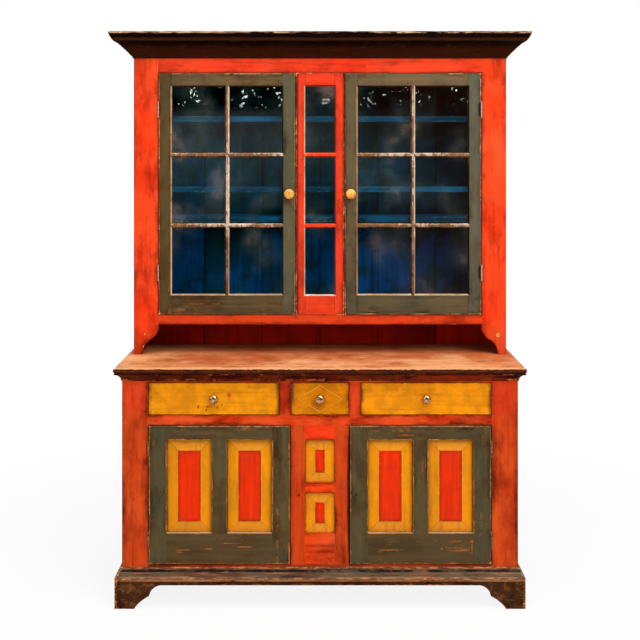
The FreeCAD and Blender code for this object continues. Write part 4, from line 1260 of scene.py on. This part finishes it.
# Paints for the bevels round the glass: painted shade for those that face left and down, and
# painted light, with bleaching, for those that face right and up.
SASH_SHADE = (ink(40, 26, 14), ink(62, 38, 20), ink(150, 84, 40), ink(210, 150, 96))
LIT_AND_BLEACHED = (ink(198, 172, 140), ink(228, 212, 188), ink(170, 98, 48), ink(250, 242, 230))
LIT_AND_BLEACHED_TAN = (ink(176, 142, 100), ink(214, 188, 150), ink(160, 92, 44), ink(240, 220, 190))

SASH_HINGES = (1.792, 1.170)
# Tones across the door stiles. The last on the right-hand door is painted shade along its edge by
# the centre light.
SASH_TONES_AND_GAP_SHADE = {
    "left": ((-0.40, -0.50, 0.5, ink(86, 66, 30)), (-0.30, -0.20, 0.5, ink(92, 94, 73))),
    "right": ((0.40, 0.50, 0.5, ink(92, 97, 83)), (0.1035, 0.0965, 0.8, ink(90, 30, 8))),
}
# Painted shade beside each hinge barrel.
SASH_HINGE_SHADE = {
    "left": [(-0.6115, height, 0.003, 0.032) for height in SASH_HINGES],
    "right": [(0.6088, height, 0.0075, 0.035) for height in SASH_HINGES],
}
# Painted shade on the centre light's stiles, along the gaps by the doors.
CENTRE_LIGHT_GAP_SHADE = ((-0.0770, -0.0890, 0.95, ink(96, 26, 4)), (0.0820, 0.0930, 0.95, ink(96, 26, 4)))


def sash_frame(name, x, z, stile, coats, shade, pale, body, **wear_and_tear):
    """Stiles and rails in one closed ring, from the outer front arris round to the back. Of the
    bevels round the glass, those that face right and up get the pale paint, as painted light with
    bleaching, and the others the dark paint, as painted shade."""
    stiles = (sum(x) / 2, (x[1] - x[0]) / 2 - stile)
    face_paint = worn_paint(
        name + "_paint", "x", *coats, wear=0.7, streaks=0.6, rubs=0.4, stiles=stiles,
        **wear_and_tear,
    )
    # Lit and shaded copies of the bevel paint: painted shade here, painted light below.
    bevel_painted_shade = worn_paint(
        name + "_bevel", "x", *shade, wear=0.6, reach=0.005, soot=0.5, rubs=1.0, stiles=stiles
    )
    bevel_painted_light = worn_paint(
        name + "_bevel_pale", "x", *pale, wear=0.25, reach=0.004, soot=0.25, rubs=1.2, flakes=0.3,
        mottle=0.5, stiles=stiles,
    )
    day_x = (x[0] + stile, x[1] - stile)
    day_z = (z[0] + SASH_FOOT, z[1] - SASH_TOP)
    front, back = UPPER_FACE, UPPER_FACE + SASH_THICK
    rings = [
        rectangle(x, z, front),
        rectangle(day_x, day_z, front, SASH_BEVEL),
        rectangle(day_x, day_z, front + SASH_BEVEL_DEEP),
        rectangle(day_x, day_z, front + GLASS_SEAT),
        rectangle(day_x, day_z, front + GLASS_SEAT, GLASS_REBATE),
        rectangle(day_x, day_z, back, GLASS_REBATE),
        rectangle(x, z, back),
    ]
    skin = bmesh.new()
    lofted(skin, rings, (0, 1, 1, 0, 0, 0, 0), closed=True)
    for face in skin.faces:
        # Painted light: bevels that face right and up take the pale paint.
        if face.material_index == 1 and face.normal.x + face.normal.z > 0.3:
            face.material_index = 2
    sash = eased(made(name, skin, [face_paint, bevel_painted_shade, bevel_painted_light]), SASH_EASED)
    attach(sash, body)
    return sash


light = sash_frame(
    "centre_light_woodwork", LIGHT_X, LIGHT_Z, LIGHT_STILE, LIGHT_RED, LIGHT_SHADE, LIT_AND_BLEACHED,
    "case", soot=0.5, rim=1.0, sides=CENTRE_LIGHT_GAP_SHADE,
)
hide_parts("centre_light_frame")
for hand, across in (("left", leftward), ("right", tuple)):
    sash = sash_frame(
        "upper_door_" + hand + "_woodwork", across(SASH_DOOR_X), SASH_DOOR_Z, SASH_STILE,
        SASH_OLIVE[hand], SASH_SHADE, LIT_AND_BLEACHED_TAN, "upper_door_" + hand, soot=0.45, rim=0.35,
        tones=((1.874, 1.884, 0.17, ink(168, 130, 88)),), sides=SASH_TONES_AND_GAP_SHADE[hand],
        stains=SASH_HINGE_SHADE[hand],
    )
    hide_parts("upper_door_" + hand + "_frame")


def bar_paint(name, pale, pale_aged, face, dark, darker, below, low=None):
    """Paint on a glazing bar, with painted light and shade by facing: pale where it faces right and
    up, as lit and bleached, dark where it faces left and down, as shaded, and mottled between the
    two on its narrow front. Low is the cast of the lowest third."""
    mix = Finish(name)
    facing = mix.axes(mix.lay("NewGeometry", {})["Normal"])
    turn = facing[0] + facing[2]
    grit = mix.grain("z", 50.0, 130.0, 6, 0.72)
    blot = mix.cloud(30.0, 5, 0.65)
    drift = mix.cloud(7.0, 4, 0.6).full()
    # Painted light and shade: a pale colour for the lit sides, a dark one for the shaded sides.
    lit_and_bleached = mix.over(blot.between(0.4, 0.62), pale, pale_aged)
    old = mix.over(blot.between(0.42, 0.58), dark, darker)
    lit_and_rubbed = grit.between(0.38, 0.62) + (drift - 0.5) * 0.8
    front = mix.over(lit_and_rubbed.between(0.5, 1.15), face, lit_and_bleached)
    mix.colour = mix.over(turn.between(-0.2, -0.5), front, old)
    up = mix.over(lit_and_rubbed.between(0.2, 0.95), face, lit_and_bleached)
    painted_light_and_wear = mix.over(facing[2].above(0.3), lit_and_bleached, up)
    mix.tint(turn.between(0.2, 0.5), painted_light_and_wear)
    bits = grit.between(0.5, 0.58) * blot.between(0.42, 0.54)
    mix.tint(bits * 0.7, below)
    if low:
        mix.tint(mix.axes()[2].between(1.320, 1.290), low, "MULTIPLY")
    # Painted shade in the corners where the bars meet the frame.
    corner = mix.nook(0.008) * blot.between(0.4, 0.6)
    mix.tint(corner, ink(40, 26, 14))
    return mix.finished(0.55, grit, 0.0005, 0.08)


door_bars = bar_paint(
    "sash_bar_paint", ink(196, 176, 150), ink(236, 222, 204), ink(112, 80, 50), ink(48, 31, 18),
    ink(104, 62, 30), ink(176, 104, 54), low=ink(190, 174, 158),
)
light_bars = bar_paint(
    "light_bar_paint", ink(232, 78, 48), ink(238, 96, 62), ink(226, 56, 26), ink(176, 38, 16),
    ink(140, 34, 14), ink(204, 104, 56),
)
for hand in ("left", "right"):
    carry("upper_door_" + hand + "_bars", door_bars)
carry("centre_light_bars", light_bars)

# ---- Window glass ----------------------------------------------------------------------------
# Thin old cylinder glass, one pane to a light, set in the rebates behind the bars. It is a little
# wavy and dusty, and slightly green.


def old_glass(name):
    """Clear glass with a film of dust. Shadow and diffuse rays pass straight through it."""
    mix = Finish(name)
    waves = mix.cloud(9.0, 1, 0.3)
    seeds = mix.cloud(60.0, 3, 0.5)
    bump = mix.lay("Bump", {"Height": waves, "Strength": 0.5, "Distance": 0.00014})
    feeds = {
        "Base Color": ink(214, 234, 232), "Roughness": 0.004, "IOR": 1.5,
        "Transmission Weight": 1.0, "Normal": bump,
    }
    pane = mix.lay("BsdfPrincipled", feeds)
    dust = mix.lay("BsdfDiffuse", {"Color": ink(120, 120, 104)})
    haze = seeds.between(0.5, 0.8) * 0.006
    film = mix.lay("MixShader", {0: haze, 1: pane, 2: dust})
    clear = mix.lay("BsdfTransparent", {"Color": ink(232, 244, 240)})
    ray = mix.lay("LightPath", {})
    lets_light_in = mix.sum("MAXIMUM", ray["Is Shadow Ray"], ray["Is Diffuse Ray"])
    whole = mix.lay("MixShader", {0: lets_light_in, 1: film, 2: clear})
    mix.lay("OutputMaterial", {"Surface": whole})
    return mix.material


window_glass = old_glass("window_glass")
for node in ("upper_door_left_glass", "upper_door_right_glass", "centre_light_glass"):
    carry(node, window_glass)

# ---- Upper door knobs and catches ------------------------------------------------------------
# Turned wooden knobs painted bright ochre, each pinned to a spindle through the door stile, with
# a plain wooden turn on its inner end.
DOOR_KNOB_OUT = 0.025
PIN_RADIUS = 0.002
PIN_OUT = 0.02


def knob_paint(name):
    """Glossy ochre paint on a wooden knob, with a brown pin in the middle of its face."""
    mix = Finish(name)
    wear = mix.cloud(150.0, 5, 0.65)
    drift = mix.cloud(40.0, 3, 0.5)
    mix.colour = mix.over(drift.between(0.4, 0.6), ink(244, 182, 84), ink(226, 148, 46))
    mix.tint(wear.between(0.58, 0.68), ink(190, 110, 32))
    spot = mix.lay("Attribute", {}, attribute_name="pin")["Fac"]
    mix.tint(spot.between(0.4, 0.6), ink(70, 40, 16))
    return mix.finished(0.42, wear, 0.0003, 0.4)


door_knob_paint = knob_paint("door_knob_ochre")
door_knob_outline = [
    (0.0006, -0.985), (0.0016, -0.99), (0.0030, -1.0), (0.0085, -0.975), (0.0128, -0.91),
    (0.0162, -0.80), (0.0184, -0.68), (0.0190, -0.57), (0.0184, -0.46), (0.0160, -0.36),
    (0.0120, -0.28), (0.0088, -0.22), (0.0086, -0.17), (0.0104, -0.10), (0.0108, -0.04),
    (0.0108, -0.013), (KNOB_SHANK, -0.013), (KNOB_SHANK, 1.08),
]
for hand in ("left", "right"):
    low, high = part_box("upper_door_" + hand + "_knob")
    middle = (low + high) / 2
    knob = turned(
        "upper_door_" + hand + "_pull",
        [(radius, share * DOOR_KNOB_OUT) for radius, share in door_knob_outline],
        middle.x, UPPER_FACE, middle.z, door_knob_paint,
    )
    pin = knob.data.attributes.new("pin", "FLOAT", "POINT")
    for number, vertex in enumerate(knob.data.vertices):
        off = math.hypot(vertex.co.x - middle.x, vertex.co.z - middle.z)
        on_pin = off < PIN_RADIUS and vertex.co.y < UPPER_FACE - PIN_OUT
        pin.data[number].value = float(on_pin)
    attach(knob, "upper_door_" + hand + "_latch")
    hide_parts("upper_door_" + hand + "_knob")
    carry("upper_door_" + hand + "_catch", raw_upright)

# ---- Cornice ---------------------------------------------------------------------------------
# A crown moulding mitred round the top: a square edge, a sloping round crown and a quirk over a
# long shallow hollow. Brown-black paint, worn to a thin tan line along the top edge. Light and
# shade are painted along it: a band of shade below the edge, a highlight line across the crown, a
# shadow line where the hollow starts and lighter brown low in the hollow.
CORNICE_EDGE_FOOT = 2.0765
CROWN_LINE = 2.0535
HOLLOW_TOP = 2.041


def crown_paint(name):
    """Dark paint, streaked along the moulding, with painted light and shade by height on its
    profile and the top edge worn to tan.
    """
    mix = Finish(name)
    run, fine, shape = along_moulding(mix, (5, 5, 90), (26, 26, 250))
    drift = mix.cloud(2.6, 5, 0.65)
    mix.colour = mix.over(drift.between(0.4, 0.6), ink(20, 5, 1), ink(32, 11, 3))
    mix.tint(run.between(0.5, 0.66) * 0.7, ink(60, 25, 9))
    mix.tint(run.between(0.46, 0.34) * 0.8, ink(10, 4, 2))
    mix.tint(fine.between(0.56, 0.66) * 0.5, ink(92, 60, 28))
    # Painted light: the lower part of the hollow is made lighter brown.
    mix.tint(mix.axes()[2].between(2.036, 2.018) * 0.5, ink(68, 27, 8))
    # Painted shadow: a dark line where the hollow starts, under the quirk.
    painted_hollow_shadow = line_at(shape, HOLLOW_TOP, 0.0080, 0.0040)
    mix.tint(painted_hollow_shadow * 0.6, ink(14, 3, 1))
    # Painted highlight, drawn like a worn line: a lighter line across the crown.
    lit_and_rubbed = line_at(shape, CROWN_LINE, 0.0060, 0.0025)
    mix.tint(lit_and_rubbed * 0.7, ink(70, 36, 19))
    # Painted shade: a dark band above the highlight line.
    above = shape.between(CROWN_LINE + 0.006, CROWN_LINE + 0.009) * 0.85
    mix.tint(above, ink(12, 4, 1))
    edge = shape.between(CORNICE_EDGE_FOOT - 0.0025, CORNICE_EDGE_FOOT + 0.0005)
    worn = (fine * 0.5 + run * 0.5).between(0.45, 0.54)
    tan = mix.over(fine.between(0.46, 0.58), ink(140, 92, 66), ink(206, 160, 128))
    mix.tint(edge * worn, tan)
    relief = run * 0.7 - worn * 0.2
    return mix.finished(0.42 + fine * 0.24, relief, 0.0008, 0.02)


carry("cornice", crown_paint("cornice_paint"))

# ---- Nail heads and old screw holes ----------------------------------------------------------
# Two plugged holes face each other across the gap by the right lower door, where a turn button
# once sat. Cut nails hold the corners of the middle drawer.
NAIL_RADIUS = 0.0028
HOLE_RADIUS = 0.0042
HEAD_PROUD = 0.0004
HEAD_DEEP = 0.002
nail_metal = old_iron("nail_iron")
dark_wax = old_pine("dark_wax", "y", ink(46, 22, 10), ink(24, 12, 6))
holes = [
    ("strip_old_hole", "case", -0.076, 0.399, HOLE_RADIUS, dark_wax),
    ("door_old_hole", "lower_door_right", 0.131, 0.400, HOLE_RADIUS, dark_wax),
]
nails = ((-0.094, 0.795), (0.094, 0.795), (-0.095, 0.694), (0.095, 0.694))
for number, (x, z) in enumerate(nails):
    holes.append(("drawer_nail_%d" % (number + 1), "drawer_centre", x, z, NAIL_RADIUS, nail_metal))
for name, body, x, z, radius, material in holes:
    outline = [
        (0.0004, -HEAD_PROUD / 2), (radius * 0.7, -HEAD_PROUD), (radius, 0.0), (radius, HEAD_DEEP),
    ]
    head = turned(name, outline, x, LOWER_FACE, z, material, 16)
    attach(head, body)

# ---- Room, light and camera ------------------------------------------------------------------
# A white floor, a soft key from the upper right, a wide fill from the left and an even sky. The
# glass and brass see white behind the cupboard and a dim garden in front of it.
CUPBOARD_MIDDLE = 1.1
CAMERA_Y = -4.2665
CAMERA_Z = 1.619
CAMERA_LENS = 63.2
CAMERA_SENSOR = 36.0
CAMERA_SHIFT = -0.258
SKY = 0.22
KEY_WATTS = 120
FILL_WATTS = 34
ROOF_WATTS = 165
FLOOR_HALF = 30.0
FLOOR_END = -5.2
WHITE = (1.0, 1.0, 1.0, 1.0)


def slope(value, low, high, start=0.0):
    """Rises straight from the start at low to 1 at high."""
    feeds = {"Value": value, "From Min": low, "From Max": high, "To Min": start}
    return value.mix.lay("MapRange", feeds)


skin = bmesh.new()
for x, y in ((-1, FLOOR_END), (1, FLOOR_END), (1, FLOOR_HALF), (-1, FLOOR_HALF)):
    skin.verts.new((x * FLOOR_HALF, y, 0.0))
skin.faces.new(skin.verts)
floor_mix = Finish("white_floor")
shadow_catch = floor_mix.lay("BsdfDiffuse", {"Color": (0.9, 0.9, 0.9, 1.0)})
seen_white = floor_mix.lay("Emission", {"Color": WHITE, "Strength": 1.0})
ray = floor_mix.lay("LightPath", {})
seen = floor_mix.sum("MAXIMUM", ray["Is Camera Ray"], ray["Is Glossy Ray"])
seen = floor_mix.sum("MAXIMUM", seen, ray["Is Transmission Ray"])
away = floor_mix.vector("LENGTH", floor_mix.place)["Value"]
whiter = slope(away, 0.6, 2.4, 0.88)
surface = floor_mix.lay("MixShader", {0: seen * whiter, 1: shadow_catch, 2: seen_white})
floor_mix.lay("OutputMaterial", {"Surface": surface})
floor = made("floor", skin, [floor_mix.material])

sky = Finish("studio", bpy.data.worlds)
bpy.context.scene.world = sky.material
sky.place = sky.lay("TexCoord", {})["Generated"]
leaves = sky.cloud(26.0, 5.0, 0.5)
gaps = sky.cloud(430.0, 1.0, 0.5)
trees = sky.cloud(80.0, 2.0, 0.5)
garden = sky.lay("ValToRGB", {0: leaves})
ramp = garden.node.color_ramp
ramp.elements[0].position, ramp.elements[0].color = 0.45, (0.0, 0.002, 0.004, 1)
ramp.elements[1].position, ramp.elements[1].color = 0.71, (1.9, 1.2, 1.1, 1)
for position, colour in ((0.53, (0.03, 0.09, 0.09, 1)), (0.61, (0.26, 0.30, 0.28, 1))):
    ramp.elements.new(position).color = colour
side, ahead, rise = sky.axes()
lawn = slope(rise, -0.11, -0.05, 0.45)
garden = sky.lay("VectorMath", {0: garden, "Scale": lawn}, operation="SCALE")
mist = slope(rise, -0.05, 0.016) * slope(rise, 0.044, 0.030) * slope(side, 0.11, -0.04) * leaves
garden = sky.over(mist, garden, (0.62, 0.66, 0.62, 1), "ADD")
earth = slope(side, 0.02, 0.08) * leaves
garden = sky.over(earth, garden, (0.22, 0.07, 0.02, 1), "ADD")
bright_gap = slope(gaps, 0.62, 0.65) * slope(trees, 0.56, 0.60) * slope(rise, 0.042, 0.047)
garden = sky.over(bright_gap, garden, (13.0, 13.0, 12.0, 1))
backdrop = sky.over(slope(ahead, -0.25, -0.1), garden, WHITE)
ray = sky.lay("LightPath", {})
mirrored = sky.sum("MAXIMUM", ray["Is Glossy Ray"], ray["Is Transmission Ray"])
lit = sky.lay("Background", {"Color": WHITE, "Strength": SKY})
in_glass = sky.lay("Background", {"Color": backdrop, "Strength": 1.0})
shown = sky.lay("Background", {"Color": WHITE, "Strength": 1.0})
whole = sky.lay("MixShader", {0: mirrored, 1: lit, 2: in_glass})
whole = sky.lay("MixShader", {0: ray["Is Camera Ray"], 1: whole, 2: shown})
sky.lay("OutputWorld", {"Surface": whole})


def soft_light(name, place, size, watts):
    """A rectangle of light that looks at the middle of the cupboard."""
    lamp = bpy.data.lights.new(name, "AREA")
    lamp.shape = "RECTANGLE"
    lamp.size, lamp.size_y = size
    lamp.energy = watts
    light = bpy.data.objects.new(name, lamp)
    bpy.context.scene.collection.objects.link(light)
    light.location = place
    towards = Vector((0, 0, CUPBOARD_MIDDLE)) - Vector(place)
    light.rotation_euler = towards.to_track_quat("-Z", "Y").to_euler()


soft_light("key", (2.3, -3.8, 3.9), (2.2, 2.2), KEY_WATTS)
soft_light("fill", (-3.0, -4.0, 2.6), (2.6, 2.6), FILL_WATTS)
soft_light("roof", (0.3, -2.0, 5.0), (3.6, 2.6), ROOF_WATTS)

camera = bpy.data.objects.new("camera", bpy.data.cameras.new("camera"))
bpy.context.scene.collection.objects.link(camera)
camera.location = (0.0, CAMERA_Y, CAMERA_Z)
camera.rotation_euler = (math.radians(90), 0.0, 0.0)
camera.data.sensor_width = CAMERA_SENSOR
camera.data.lens = CAMERA_LENS
camera.data.shift_y = CAMERA_SHIFT
bpy.context.scene.camera = camera
bpy.context.scene.view_settings.view_transform = "Standard"
